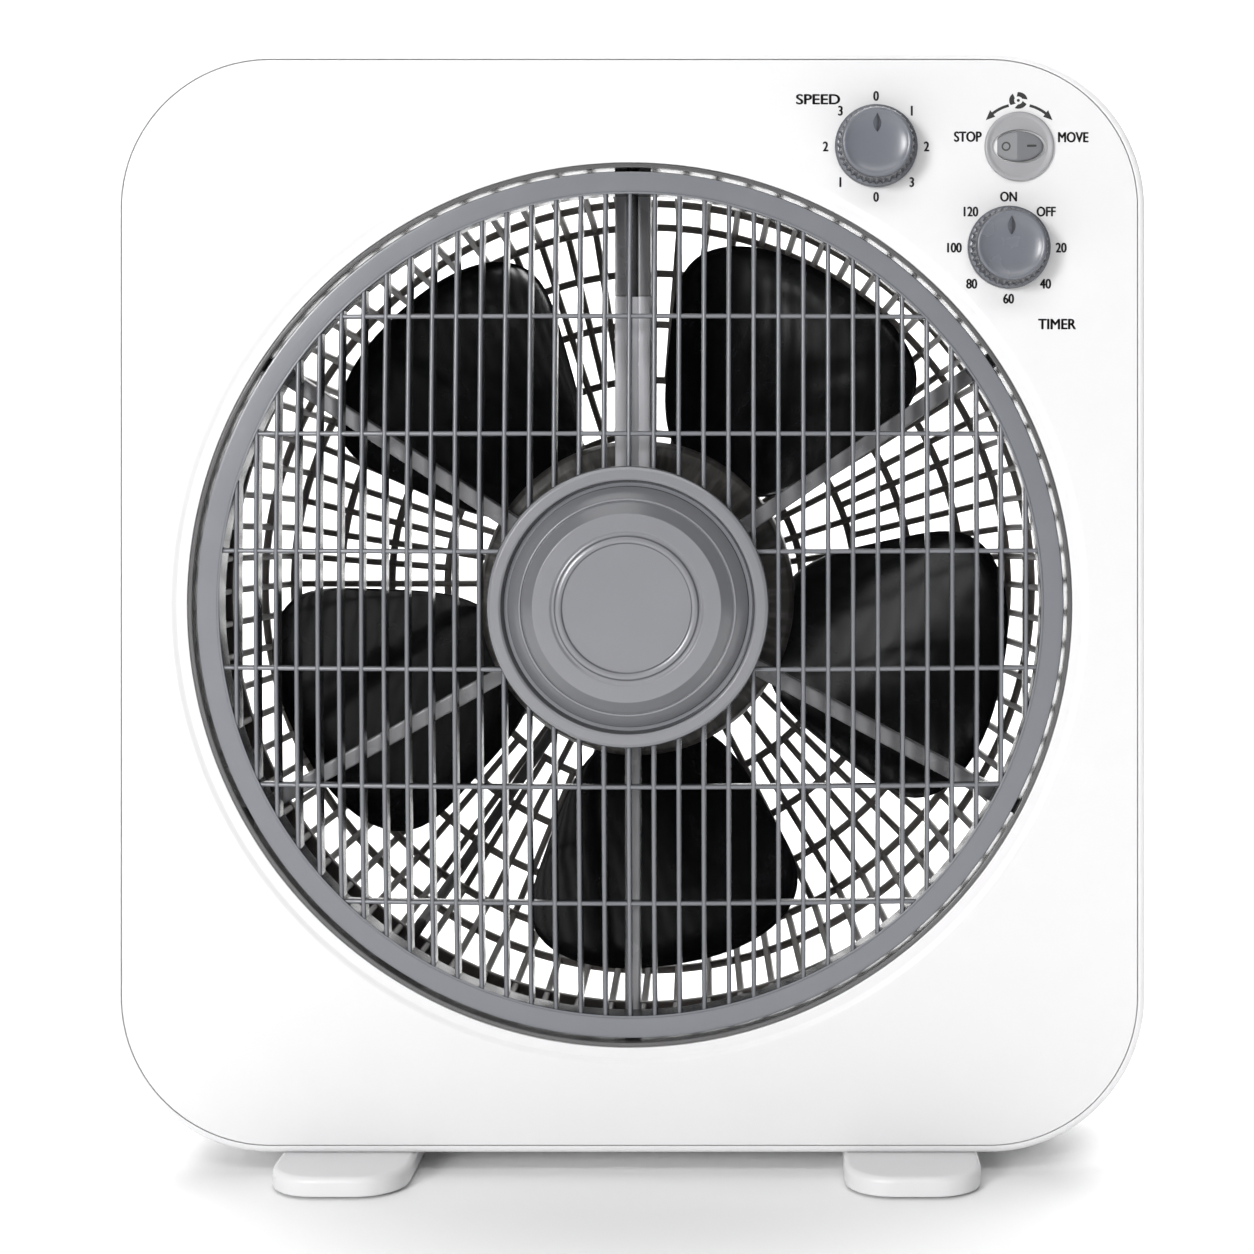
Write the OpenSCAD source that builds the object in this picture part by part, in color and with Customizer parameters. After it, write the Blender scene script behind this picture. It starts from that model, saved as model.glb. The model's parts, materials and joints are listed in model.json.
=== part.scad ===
// Box fan with a slowly turning louvre wheel in front of the blades.
// Frame: x to the right, y from the front to the back, z up. The origin is on the floor,
// midway between the left and right sides and midway along the feet.

/* [Housing] */
// Width of the housing
body_w = 370; // [360:1:400]
// Height of the housing without its feet
body_h = 395; // [390:1:430]
// Radius of the housing's four large corners
corner_r = 56; // [50:1:70]
// Depth of the square housing, from its face to its back wall
housing_d = 85; // [80:1:100]
// Width of the rounded rim round the front panel
rim_w = 2.9; // [2.5:0.1:4]
// Thickness of the moulded panels
panel_t = 2.5; // [2:0.1:3]

/* [Feet] */
// Height of a foot
foot_h = 8; // [7:0.5:12]
// Width of a foot
foot_w = 48.5; // [46:0.5:52]
// Length of a foot, which is also the fan's overall depth
foot_len = 186; // [180:1:200]
// Distance between the middles of the two feet
foot_pitch = 202; // [190:1:220]

/* [Louvre wheel] */
// Diameter of the round opening in the front panel
opening_d = 317.6; // [317:0.1:320]
// Outer diameter of the louvre wheel
wheel_d = 312; // [308:0.5:312]
// Width of the louvre wheel's rim
wheel_rim = 8.2; // [7:0.1:10]
// Distance between two neighbouring upright bars
bar_pitch = 8.9; // [8.8:0.05:8.95]
// Thickness of a bar
bar_t = 1.7; // [1.5:0.1:2.4]
// Height of the dome that the bars follow
dome_h = 9; // [6:0.5:11]
// Diameter of the centre cap
cap_d = 100.2; // [98:0.1:102]

/* [Blades] */
// Diameter that the blade tips sweep
blade_d = 284; // [260:1:290]
// Number of blades
blade_count = 5; // [4:1:5]
// Angle that one blade covers, in degrees
blade_span = 50; // [40:1:54]
// Outer diameter of the blade hub
hub_d = 118; // [110:1:120]

/* [Rear grille] */
// Number of ribs from the rim to the middle of the net
long_ribs = 40; // [32:1:44]
// Thickness of a rib
rib_t = 2.9; // [2:0.1:3.2]
// Depth of the whole body from its face to the back of the net
body_d = 130; // [128:1:134]

/* [Controls] */
// Diameter of a knob's skirt
knob_d = 29.6; // [26:0.1:30]
// Height of a knob in front of the panel
knob_h = 14; // [12:0.5:16]
// Angle between the two positions of the rocker
rocker_travel = 24; // [16:1:26]

/* [Hidden] */
$fn = 96;

// Depths along y, from the face backwards
face_y = 20 - housing_d;
back_y = 20;
net_y = face_y + body_d;
panel_y = face_y + panel_t;
shell_gap = 0.25;
wall = rim_w - shell_gap;

// Heights
body_z = foot_h + body_h / 2;
axis_z = body_z - 1;

// Louvre wheel
opening_r = opening_d / 2;
wheel_r = wheel_d / 2;
wheel_in_r = wheel_r - wheel_rim;
wheel_y = face_y + 2.5;
wheel_depth = 10;
bar_depth = 8;
bar_front_y = wheel_y + 0.6;
cross_bar_pitch = 42.1;
cross_bar_shift = -1.6;
cross_bar_back = 0.7;
cross_bar_depth = 5;
left_bars = 17;
right_bars = 16;
// The bars left of this one stand closer together, by a growing amount
closing_from = 6;
closing = 0.08;
wheel_hub_r = 46;
cap_r = cap_d / 2;
cap_y = wheel_y - dome_h - 0.4;
// Radius of the sphere that the bars' front edges follow
dome_r = (wheel_in_r * wheel_in_r + dome_h * dome_h) / (2 * dome_h);

// Spider
spider_rim_t = 1.4;
spider_out_r = opening_r - 0.2;
spider_in_r = spider_out_r - spider_rim_t;
spoke_front_y = face_y + 16;
spoke_back_y = face_y + 25;
spoke_w = 5.7;
spoke_angles = [34, 147, 209, 270, 332];
channel_w = 13;
channel_wall = 1.6;
spider_hub_r = 31;
swing_motor_r = 23.2;
swing_shaft_r = 3.5;
wheel_screw_r = 1.6;
// How far the swing motor's two fixing screws stand from the axis
swing_ear_x = 26.1;

// Blades and motor
blade_r = blade_d / 2;
hub_r = hub_d / 2;
hub_front_y = face_y + 35;
hub_back_y = hub_front_y + 30;
blade_front_y = hub_front_y + 3;
blade_depth = 40;
blade_thickness = 5.2;
blade_first_angle = 59;
shaft_r = 4;
motor_r = 45;
motor_front_y = 6;
motor_split_y = 31;
motor_back_y = 57;
motor_bolt_r = 33;
running_gap = 0.05;
plate_r = 46;
plate_back_y = net_y - 0.3;
motor_head_h = 1.8;

// Back wall
vent_r = 165.6;
grip_half_w = 58;
grip_half_h = 7.5;
grip_z = body_z + body_h / 2 - 14;
grip_depth = 22;
gland_pos = [-128, foot_h + 26];
gland_hole_r = 6;
terminal_pos = [-130, -6, foot_h + wall + 0.05];

// Controls: [x, z] of each, measured from the middle of the housing
speed_pos = [88.4, body_z + 163.5];
timer_pos = [135.9, body_z + 127.2];
rocker_pos = [139.7, body_z + 163.4];
control_shaft_r = 3;
knob_gap = 0.5;
bezel_r = 12.5;
rocker_half_w = 9;
rocker_half_h = 5.4;
rocker_pivot_y = face_y + 2.2;
rocker_pin_r = 1;
rocker_gap = 0.65;

// Radius of a foot's corners, seen from above
foot_end_r = 17;
pad_r = 8;
pad_inset = 16;

// Fasteners: [x, z] from the middle of the housing
housing_screw_at = [for (sx = [-1, 1]) for (p = [[168, 142], [142, -180]]) [sx * p[0], p[1]]];
foot_screw_y = [face_y + 20, back_y - 20];
grille_screw_r = 169;
spider_screw_r = 163.2;
spider_boss_r = 2.6;
spider_boss_h = 2.3;
motor_bolts = [for (i = [0 : 3]) 45 + 90 * i];
grille_bolts = [for (i = [0 : 5]) 30 + 60 * i];
spider_bolts = [for (i = [0 : 5]) 60 * i];

// ---------------------------------------------------------------- shared shapes

// Draws in the front view (x right, y up); thickness grows from depth y towards the viewer.
module at_depth(y) {
    translate([0, y, 0]) rotate([90, 0, 0]) children();
}

// The same, centred on the axis of the blades and the louvre wheel.
module on_axis(y) {
    at_depth(y) translate([0, axis_z, 0]) children();
}

// A flat piece between two depths.
module slab(front_y, rear_y) {
    at_depth(rear_y) linear_extrude(rear_y - front_y) children();
}

// Copies a piece to a radius at each of some angles about the fan's axis.
module round_axis(y, r, angles) {
    on_axis(y) for (a = angles) rotate([0, 0, a]) translate([r, 0, 0]) children();
}

// A turned piece on the fan's axis, from a profile of [radius, depth y] points.
module turned(profile) {
    on_axis(0) rotate_extrude($fn = 180) polygon([for (p = profile) [p[0], -p[1]]]);
}

module round_rect(w, h, r) {
    square([w - 2 * r, h], center = true);
    square([w, h - 2 * r], center = true);
    for (sx = [-1, 1]) for (sy = [-1, 1]) translate([sx * (w / 2 - r), sy * (h / 2 - r)]) circle(r);
}

module stadium(half_w, half_h) {
    square([2 * (half_w - half_h), 2 * half_h], center = true);
    for (s = [-1, 1]) translate([s * (half_w - half_h), 0]) circle(half_h);
}

module oval(half_w, half_h) {
    polygon([for (a = [0 : 6 : 354]) [half_w * cos(a), half_h * sin(a)]]);
}

// Points along a quarter circle about a centre, from one angle to the next.
function arc(cx, cy, r, from, to, steps = 6) =
    [for (i = [0 : steps]) let (a = from + (to - from) * i / steps) [cx + r * cos(a), cy + r * sin(a)]];

// Sweeps a profile round the housing's outline. The profile's x runs outwards from the
// centre of a corner, and its y is the distance in front of depth 0.
module swept_round_outline(inset) {
    r = corner_r - inset;
    x = body_w / 2 - corner_r;
    z = body_h / 2 - corner_r;
    at_depth(0) translate([0, body_z, 0]) {
        for (i = [0 : 3]) {
            sx = (i == 0 || i == 3) ? 1 : -1;
            sz = (i < 2) ? 1 : -1;
            long = (i % 2 == 0) ? 2 * z : 2 * x;
            translate([sx * x, sz * z, 0]) rotate([0, 0, 90 * i]) {
                rotate_extrude(angle = 90) translate([-inset, 0]) children();
                rotate([90, 0, 0]) linear_extrude(long) translate([-inset, 0]) children();
            }
        }
    }
}

module screw(head_r, head_h, shank_r, length) {
    cylinder(r = head_r, h = head_h, $fn = 32);
    translate([0, 0, head_h]) cylinder(r = shank_r, h = length, $fn = 32);
}

// A screw whose head is at the back and whose shank points to the front.
module rear_screw(x, z, head_y, head_r, head_h, shank_r, length) {
    at_depth(head_y) translate([x, z, 0]) screw(head_r, head_h, shank_r, length);
}

module lead(points, r) {
    for (i = [0 : len(points) - 2]) {
        a = points[i];
        b = points[i + 1];
        d = b - a;
        translate(a) rotate([0, acos(d[2] / norm(d)), atan2(d[1], d[0])])
            cylinder(r = r, h = norm(d), $fn = 24);
        if (i > 0) translate(a) sphere(r + 0.04, $fn = 24);
    }
}

// A point at a radius, an angle (counter-clockwise seen from the front) and a depth.
function polar(r, a, y) = [r * cos(a), y, axis_z + r * sin(a)];

// ---------------------------------------------------------------- housing

module front_panel() {
    panel_w = body_w - 2 * rim_w;
    panel_h = body_h - 2 * rim_w;
    bead_r = opening_r + 5.4;
    boss_back_y = back_y - wall - 0.3;
    color("white") difference() {
        union() {
            slab(face_y, panel_y) translate([0, body_z]) round_rect(panel_w, panel_h, corner_r - rim_w);
            slab(panel_y - 0.1, panel_y + 9) translate([0, body_z]) difference() {
                round_rect(panel_w - 3, panel_h - 3, corner_r - rim_w - 1.5);
                round_rect(panel_w - 7, panel_h - 7, corner_r - rim_w - 3.5);
            }
            for (p = housing_screw_at)
                at_depth(boss_back_y) translate([p[0], body_z + p[1], 0])
                    cylinder(r = 4, h = boss_back_y - panel_y + 0.1, $fn = 32);
            round_axis(panel_y + spider_boss_h, spider_screw_r, spider_bolts)
                cylinder(r = spider_boss_r, h = spider_boss_h + 0.1, $fn = 32);
        }
        round_axis(panel_y + spider_boss_h + 1, spider_screw_r, spider_bolts) cylinder(r = 1.35, h = 4, $fn = 32);
        on_axis(panel_y + 1) cylinder(r = opening_r, h = panel_t + 2, $fn = 180);
        turned([[opening_r - 1, face_y + 0.9], [bead_r - 1.6, face_y + 0.9], [bead_r + 0.4, face_y - 0.1],
            [opening_r - 1, face_y - 0.1]]);
        for (p = housing_screw_at)
            at_depth(boss_back_y + 1) translate([p[0], body_z + p[1], 0]) cylinder(r = 1.4, h = 26, $fn = 32);
        for (p = [speed_pos, timer_pos])
            at_depth(panel_y + 1) translate([p[0], p[1], 0])
                cylinder(r = control_shaft_r + 0.6, h = panel_t + 2, $fn = 48);
        slab(face_y - 1, panel_y + 1) translate(rocker_pos) circle(rocker_half_w + 1.6);
    }
}

// The side wall's section: a rounded front rim, a straight wall and a rounded rear edge.
function wall_profile() = let (rear_r = 10, front_r = 2)
    concat(
        arc(corner_r - front_r, -face_y - front_r, front_r, 0, 90),
        [[corner_r - wall, -face_y], [corner_r - wall, -back_y + rear_r]],
        arc(corner_r - rear_r, -back_y + rear_r, rear_r - wall, 0, -90),
        arc(corner_r - rear_r, -back_y + rear_r, rear_r, -90, 0)
    );

// The grip pocket in the back wall, near the top.
module grip_pocket(grow, front_y, rear_y) {
    slab(front_y, rear_y) translate([0, grip_z]) stadium(grip_half_w + grow, grip_half_h + grow);
}

module rear_housing() {
    color("white") difference() {
        union() {
            swept_round_outline(0) polygon(wall_profile());
            slab(back_y - wall, back_y) translate([0, body_z])
                round_rect(body_w - 19.6, body_h - 19.6, corner_r - 9.8);
            intersection() {
                grip_pocket(2, back_y - grip_depth - 2, back_y - 0.1);
                slab(back_y - grip_depth - 2, back_y) translate([0, body_z]) square([body_w, body_h - 2], center = true);
            }
        }
        on_axis(back_y + 1) cylinder(r = vent_r, h = wall + 2, $fn = 180);
        grip_pocket(0, back_y - grip_depth, back_y + 1);
        for (p = housing_screw_at)
            at_depth(back_y + 1) translate([p[0], body_z + p[1], 0]) cylinder(r = 1.9, h = wall + 2, $fn = 32);
        round_axis(back_y + 1, grille_screw_r, grille_bolts) cylinder(r = 1.8, h = wall + 2, $fn = 32);
        at_depth(back_y + 1) translate([gland_pos[0], gland_pos[1], 0]) cylinder(r = gland_hole_r, h = wall + 2, $fn = 48);
        for (s = [-1, 1]) for (y = foot_screw_y)
            translate([s * foot_pitch / 2, y, foot_h - 1]) cylinder(r = 1.9, h = wall + 2, $fn = 32);
    }
}

module cord_gland() {
    color("dimgray") at_depth(back_y + 9) translate([gland_pos[0], gland_pos[1], 0]) difference() {
        union() {
            cylinder(r1 = 5.6, r2 = 7.4, h = 8.8, $fn = 48);
            translate([0, 0, 8.7]) cylinder(r = gland_hole_r - 0.1, h = wall + 0.6, $fn = 48);
            translate([0, 0, 9.2 + wall]) cylinder(r = 7.6, h = 3, $fn = 48);
        }
        translate([0, 0, -1]) cylinder(r = 3.6, h = 24, $fn = 48);
    }
}

// ---------------------------------------------------------------- rear grille

// The rib's section, a strip that runs down the side of the bowl and across its back.
function rib_profile(inner_r) = [
    [167, -26], [164.4, back_y - wall - 0.2], [151, net_y - 6.5], [145, net_y], [inner_r, net_y],
    [inner_r, net_y - 3.2], [143.6, net_y - 3.2], [148, net_y - 8], [161.2, back_y - wall - 1.4], [163.6, -26]
];

module radial_rib(angle, inner_r) {
    on_axis(0) rotate([0, 0, angle]) translate([0, rib_t / 2, 0]) rotate([90, 0, 0])
        linear_extrude(rib_t) polygon([for (p = rib_profile(inner_r)) [p[0], -p[1]]]);
}

module ring(inner_r, outer_r, front_y, rear_y) {
    turned([[inner_r, front_y], [outer_r, front_y], [outer_r, rear_y], [inner_r, rear_y]]);
}

module rear_grille() {
    step = 360 / long_ribs;
    color("dimgray") difference() {
        union() {
            for (i = [0 : long_ribs - 1]) {
                radial_rib(i * step, plate_r - 1);
                radial_rib((i + 0.5) * step, 84);
            }
            for (r = [62, 84, 107, 128]) ring(r - 1.5, r + 1.5, net_y - 2.7, net_y - 0.5);
            ring(145.4, 148.4, net_y - 6, net_y - 3);
            ring(153.2, 156.2, 41, 44);
            ring(163.2, 166, -8, -5);
            ring(162.8, 168, -29, -25.5);
            ring(161, 173, back_y - wall - 3.6, back_y - wall - 0.1);
            ring(0, plate_r, net_y - 4, plate_back_y);
            round_axis(net_y - 3, motor_bolt_r, motor_bolts)
                cylinder(r = 5, h = net_y - 3.05 - motor_back_y, $fn = 48);
        }
        round_axis(net_y + 1, motor_bolt_r, motor_bolts) {
            cylinder(r = 2.2, h = 12, $fn = 32);
            cylinder(r = 4.2, h = 1.42 + motor_head_h, $fn = 32);
        }
        round_axis(back_y, grille_screw_r, grille_bolts) cylinder(r = 1.4, h = 12, $fn = 32);
    }
}

// ---------------------------------------------------------------- spider and swing motor

module louvre_spider() {
    color("slategray") difference() {
        union() {
            turned([[spider_in_r, face_y + 1], [spider_out_r, face_y + 1], [spider_out_r, panel_y + 0.1],
                [spider_out_r + 8.5, panel_y + 0.1], [spider_out_r + 8.5, panel_y + 2.4],
                [spider_out_r, panel_y + 2.4], [spider_out_r, face_y + 28], [spider_in_r, face_y + 28]]);
            for (a = spoke_angles)
                slab(spoke_front_y, spoke_back_y) translate([0, axis_z]) rotate(a)
                    translate([spider_hub_r - 1.5, -spoke_w / 2]) square([spider_in_r - spider_hub_r + 2, spoke_w]);
            slab(spoke_front_y, spoke_back_y) translate([-channel_w / 2, axis_z + spider_hub_r - 1.5])
                square([channel_w, spider_in_r - spider_hub_r + 2]);
            turned([[0, spoke_back_y - 2], [0, spoke_back_y], [spider_hub_r, spoke_back_y],
                [spider_hub_r, spoke_front_y - 5], [spider_hub_r - 2, spoke_front_y - 5],
                [spider_hub_r - 2, spoke_back_y - 2]]);
            for (s = [-1, 1]) on_axis(spoke_back_y - 1) translate([s * swing_ear_x, 0, 0])
                cylinder(r = 2.6, h = 8, $fn = 32);
        }
        slab(spoke_front_y - 1, spoke_back_y - channel_wall)
            translate([-channel_w / 2 + channel_wall, axis_z + spider_hub_r - 4])
                square([channel_w - 2 * channel_wall, spider_in_r - spider_hub_r + 3]);
        for (s = [-1, 1]) on_axis(spoke_back_y - 2.5) translate([s * swing_ear_x, 0, 0])
            cylinder(r = 1.2, h = 8, $fn = 32);
        slab(face_y + 18, face_y + 24) translate([-4, axis_z + spider_in_r - 2]) square([8, 6]);
        round_axis(panel_y + 4, spider_screw_r, spider_bolts) cylinder(r = spider_boss_r + 0.2, h = 5, $fn = 32);
    }
}

module channel_cover() {
    cover_w = channel_w - 2 * channel_wall - 0.4;
    color("gray") slab(spoke_front_y + 0.4, spoke_front_y + 1.8)
        translate([-cover_w / 2, axis_z + spider_hub_r + 1]) square([cover_w, spider_in_r - spider_hub_r - 18]);
}

module swing_motor() {
    front_y = spoke_front_y - 3.6;
    color("silver") difference() {
        union() {
            on_axis(spoke_back_y - 2.2) cylinder(r = swing_motor_r, h = spoke_back_y - 2.2 - front_y, $fn = 96);
            on_axis(front_y + 0.1) cylinder(r = 8, h = 1.9, $fn = 48);
            slab(front_y + 1.6, front_y + 2.6) translate([0, axis_z]) stadium(28.6, 4);
        }
        on_axis(front_y + 6) cylinder(r = swing_shaft_r + running_gap, h = 12, $fn = 48);
        for (s = [-1, 1]) on_axis(front_y + 4) translate([s * swing_ear_x, 0, 0])
            cylinder(r = 1.5, h = 6, $fn = 32);
    }
}

module swing_motor_screws() {
    color("silver") for (s = [-1, 1]) on_axis(spoke_front_y - 3.9) translate([s * swing_ear_x, 0, 0])
        mirror([0, 0, 1]) screw(2.2, 1.9, 1.15, 6);
}

module swing_shaft() {
    color("silver") on_axis(spoke_front_y + 1.6) difference() {
        cylinder(r = swing_shaft_r, h = 20.5, $fn = 48);
        translate([0, 0, 11]) cylinder(r = wheel_screw_r + running_gap, h = 10, $fn = 32);
    }
}

// ---------------------------------------------------------------- louvre wheel

// Where upright bar i stands.
function bar_x(i) = bar_pitch * i + (i < -closing_from ? closing * pow(i + closing_from, 2) : 0);

// A bar whose edges follow the dome in short straight steps. It stands at a distance from the
// wheel's middle, is set back behind the dome, and runs into the rim at both ends.
module domed_bar(offset, back, depth) {
    steps = 10;
    reach = sqrt(pow(wheel_in_r + 4, 2) - offset * offset);
    function rise(s, below) = sqrt(dome_r * dome_r - offset * offset - s * s) - below;
    function edge(below) = [for (i = [0 : steps]) let (s = reach * (2 * i / steps - 1)) [s, rise(s, below)]];
    front = edge(back);
    rear = edge(back + depth);
    translate([offset - bar_t / 2, 0, 0]) rotate([90, 0, 90]) linear_extrude(bar_t)
        polygon(concat(front, [for (i = [steps : -1 : 0]) rear[i]]));
}

module louvre_grille() {
    color("slategray") difference() {
        union() {
            turned([[wheel_in_r, wheel_y + 0.7], [wheel_in_r + 1, wheel_y], [wheel_r - 0.8, wheel_y],
                [wheel_r, wheel_y + 0.8], [wheel_r, wheel_y + wheel_depth], [wheel_in_r, wheel_y + wheel_depth]]);
            on_axis(bar_front_y) translate([0, 0, dome_h - dome_r]) {
                for (i = [-left_bars : right_bars]) domed_bar(bar_x(i), 0, bar_depth);
                for (k = [-2.5 : 1 : 2.5]) rotate([0, 0, 90])
                    domed_bar(cross_bar_pitch * k + cross_bar_shift, cross_bar_back, cross_bar_depth);
            }
            turned([[0, cap_y + 0.02], [wheel_hub_r, cap_y + 0.02], [wheel_hub_r, cap_y + 3],
                [wheel_hub_r - 2, cap_y + 10.5], [12, cap_y + 10.5], [8, cap_y + 13.5], [0, cap_y + 13.5]]);
        }
        on_axis(spoke_front_y) cylinder(r = swing_shaft_r, h = 30, $fn = 48);
        on_axis(cap_y + 3.5) cylinder(r = 8, h = 8, $fn = 48);
    }
}

module louvre_cap() {
    // Sealed in front, open at the back, with a collar that plugs into the wheel's hub.
    y = cap_y;
    color("silver") turned([
        [0, y - 8.6], [cap_r * 0.46, y - 8.6], [cap_r * 0.465, y - 9.2], [cap_r * 0.5, y - 9.2],
        [cap_r * 0.51, y - 8.6], [cap_r * 0.67, y - 8.6], [cap_r * 0.75, y - 5.4],
        [cap_r * 0.84, y - 2.2], [cap_r * 0.86, y - 1.4], [cap_r * 0.885, y - 1.4],
        [cap_r * 0.9, y - 3.4], [cap_r * 0.98, y - 3.4], [cap_r, y - 2.6], [cap_r, y],
        [cap_r * 0.8, y], [cap_r * 0.62, y - 6.4], [7.8, y - 6.4], [7.8, y + 2.5], [6.2, y + 2.5],
        [6.2, y - 6.4], [0, y - 6.4]
    ]);
}

module wheel_screw() {
    color("silver") on_axis(cap_y + 3.45) {
        cylinder(r = 5, h = 2.6, $fn = 48);
        translate([0, 0, -8]) cylinder(r = wheel_screw_r, h = 8.1, $fn = 32);
    }
}

// ---------------------------------------------------------------- blades

function bulge(v, power) = sign(v) * pow(abs(v), power);

// One blade's outline in the front view: a sector with well rounded corners.
function petal() = let (inner = hub_r - 6, mid = (inner + blade_r) / 2, half = (blade_r - inner) / 2)
    [for (t = [0 : 7.5 : 352.5]) let (
        r = mid + half * bulge(cos(t), 0.5),
        a = blade_span / 2 * bulge(sin(t), 0.62) * (r > mid ? 1 : 1.02)
    ) [r * cos(a), r * sin(a)]];

module blade(angle) {
    twist_angle = blade_span * 1.2;
    intersection() {
        on_axis(blade_front_y + blade_depth) rotate([0, 0, angle + twist_angle / 2])
            linear_extrude(blade_depth, twist = twist_angle, slices = 14, $fn = 20)
                translate([hub_r - 7, -blade_thickness / 2]) square([blade_r, blade_thickness]);
        slab(blade_front_y - 1, blade_front_y + blade_depth + 1) translate([0, axis_z])
            rotate(angle) polygon(petal());
    }
}

module fan_blade() {
    color("black") difference() {
        union() {
            turned([[0, hub_front_y], [hub_r - 4, hub_front_y], [hub_r - 1.2, hub_front_y + 1.2],
                [hub_r, hub_front_y + 4], [hub_r, hub_back_y], [hub_r - 2.4, hub_back_y],
                [hub_r - 2.4, hub_front_y + 2.6], [0, hub_front_y + 2.6]]);
            turned([[0, hub_front_y + 1], [9, hub_front_y + 1], [9, hub_front_y + 26], [0, hub_front_y + 26]]);
            difference() {
                for (i = [0 : blade_count - 1]) blade(blade_first_angle - i * 360 / blade_count);
                on_axis(hub_back_y + 20) cylinder(r = hub_r - 1.2, h = 80, $fn = 96);
            }
        }
        on_axis(hub_back_y) cylinder(r = shaft_r, h = 40, $fn = 64);
        slab(hub_front_y + 22, hub_front_y + 27) translate([0, axis_z]) square([16, 3.2], center = true);
    }
}

module blade_nut() {
    color("dimgray") difference() {
        union() {
            turned([[0, hub_front_y - 8.6], [7, hub_front_y - 8.6], [9.5, hub_front_y - 5.5], [9.5, hub_front_y - 0.1],
                [0, hub_front_y - 0.1]]);
            for (i = [0 : 5]) slab(hub_front_y - 5, hub_front_y - 0.1) translate([0, axis_z]) rotate(60 * i)
                translate([8.5, -1.4]) square([3.2, 2.8]);
        }
        on_axis(hub_front_y + 1) cylinder(r = shaft_r, h = 6, $fn = 64);
    }
}

// ---------------------------------------------------------------- main motor

module main_shaft() {
    color("silver") difference() {
        on_axis(motor_back_y - 2.6) cylinder(r = shaft_r, h = motor_back_y - 2.6 - (hub_front_y - 4), $fn = 64);
        slab(hub_front_y + 22.9, hub_front_y + 25.1) translate([0, axis_z]) square([20, 2.2], center = true);
    }
}

module drive_pin() {
    color("silver") translate([-7.4, hub_front_y + 24, axis_z]) rotate([0, 90, 0])
        cylinder(r = 1.05, h = 14.8, $fn = 32);
}

module rotor_core() {
    color("gray") difference() {
        on_axis(44) cylinder(r = 21, h = 28, $fn = 96);
        on_axis(45) cylinder(r = shaft_r, h = 30, $fn = 64);
    }
}

module stator_core() {
    color("darkgray") difference() {
        on_axis(42) cylinder(r = motor_r - 2.02, h = 24, $fn = 96);
        on_axis(43) cylinder(r = 21.4, h = 26, $fn = 96);
        for (i = [0 : 15]) slab(17, 43) translate([0, axis_z]) rotate(22.5 * i) translate([24, -2]) square([11, 4]);
    }
}

module stator_windings() {
    color("chocolate") {
        turned([[24, 12.6], [33, 12.2], [35.5, 14.5], [35.5, 17.9], [24, 17.9]]);
        turned([[24, 42.1], [35.5, 42.1], [35.5, 45.5], [33, 47.6], [24, 47.2]]);
    }
}

module motor_front_shell() {
    color("silver") difference() {
        turned([[0, motor_front_y - 4], [12, motor_front_y - 4], [13, motor_front_y], [motor_r - 4, motor_front_y],
            [motor_r, motor_front_y + 4], [motor_r, motor_split_y - 0.1], [motor_r - 2, motor_split_y - 0.1],
            [motor_r - 2, motor_front_y + 5], [13, motor_front_y + 2], [11, motor_front_y + 6],
            [0, motor_front_y + 6]]);
        on_axis(motor_front_y + 5) cylinder(r = 7.5, h = 7, $fn = 64);
        on_axis(motor_front_y + 8) cylinder(r = shaft_r + 0.6, h = 16, $fn = 64);
        for (i = [0 : 7]) slab(motor_front_y - 1, motor_front_y + 3) translate([0, axis_z]) rotate(45 * i)
            translate([20, -3]) square([14, 6]);
    }
}

module motor_rear_shell() {
    color("silver") difference() {
        turned([[0, motor_back_y], [motor_r - 3, motor_back_y], [motor_r, motor_back_y - 3],
            [motor_r, motor_split_y + 0.1], [motor_r - 2, motor_split_y + 0.1], [motor_r - 2, motor_back_y - 4],
            [12, motor_back_y - 2], [12, motor_back_y - 9], [0, motor_back_y - 9]]);
        on_axis(motor_back_y - 2) cylinder(r = 7.5, h = 5.5, $fn = 64);
        on_axis(motor_back_y - 1.9) cylinder(r = shaft_r + 0.6, h = 12, $fn = 64);
        round_axis(motor_back_y + 1, motor_bolt_r, motor_bolts) cylinder(r = 1.9, h = 6, $fn = 32);
        for (i = [0 : 3]) slab(motor_back_y - 5, motor_back_y + 1) translate([0, axis_z]) rotate(90 * i)
            translate([18, -3]) square([18, 6]);
    }
}

module bearing(front_y, rear_y) {
    on_axis(rear_y) difference() {
        cylinder(r = 7.5, h = rear_y - front_y, $fn = 64);
        translate([0, 0, -1]) cylinder(r = shaft_r + running_gap, h = rear_y - front_y + 2, $fn = 64);
    }
}

module front_bearing() {
    color("peru") bearing(motor_front_y - 2, motor_front_y + 5);
}

module rear_bearing() {
    color("peru") bearing(motor_back_y - 7.5, motor_back_y - 2);
}

module motor_screws() {
    color("silver") round_axis(net_y - 0.4, motor_bolt_r, motor_bolts) screw(3.8, motor_head_h, 1.85, 9);
}

// ---------------------------------------------------------------- controls

// The outline of a fluted grip, a circle with a ripple round it.
function fluted(r, flutes) = [for (i = [0 : 6 * flutes - 1]) let (a = 60 * i / flutes, d = r + 0.3 * cos(360 * i / 6))
    [d * cos(a), d * sin(a)]];

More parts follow.
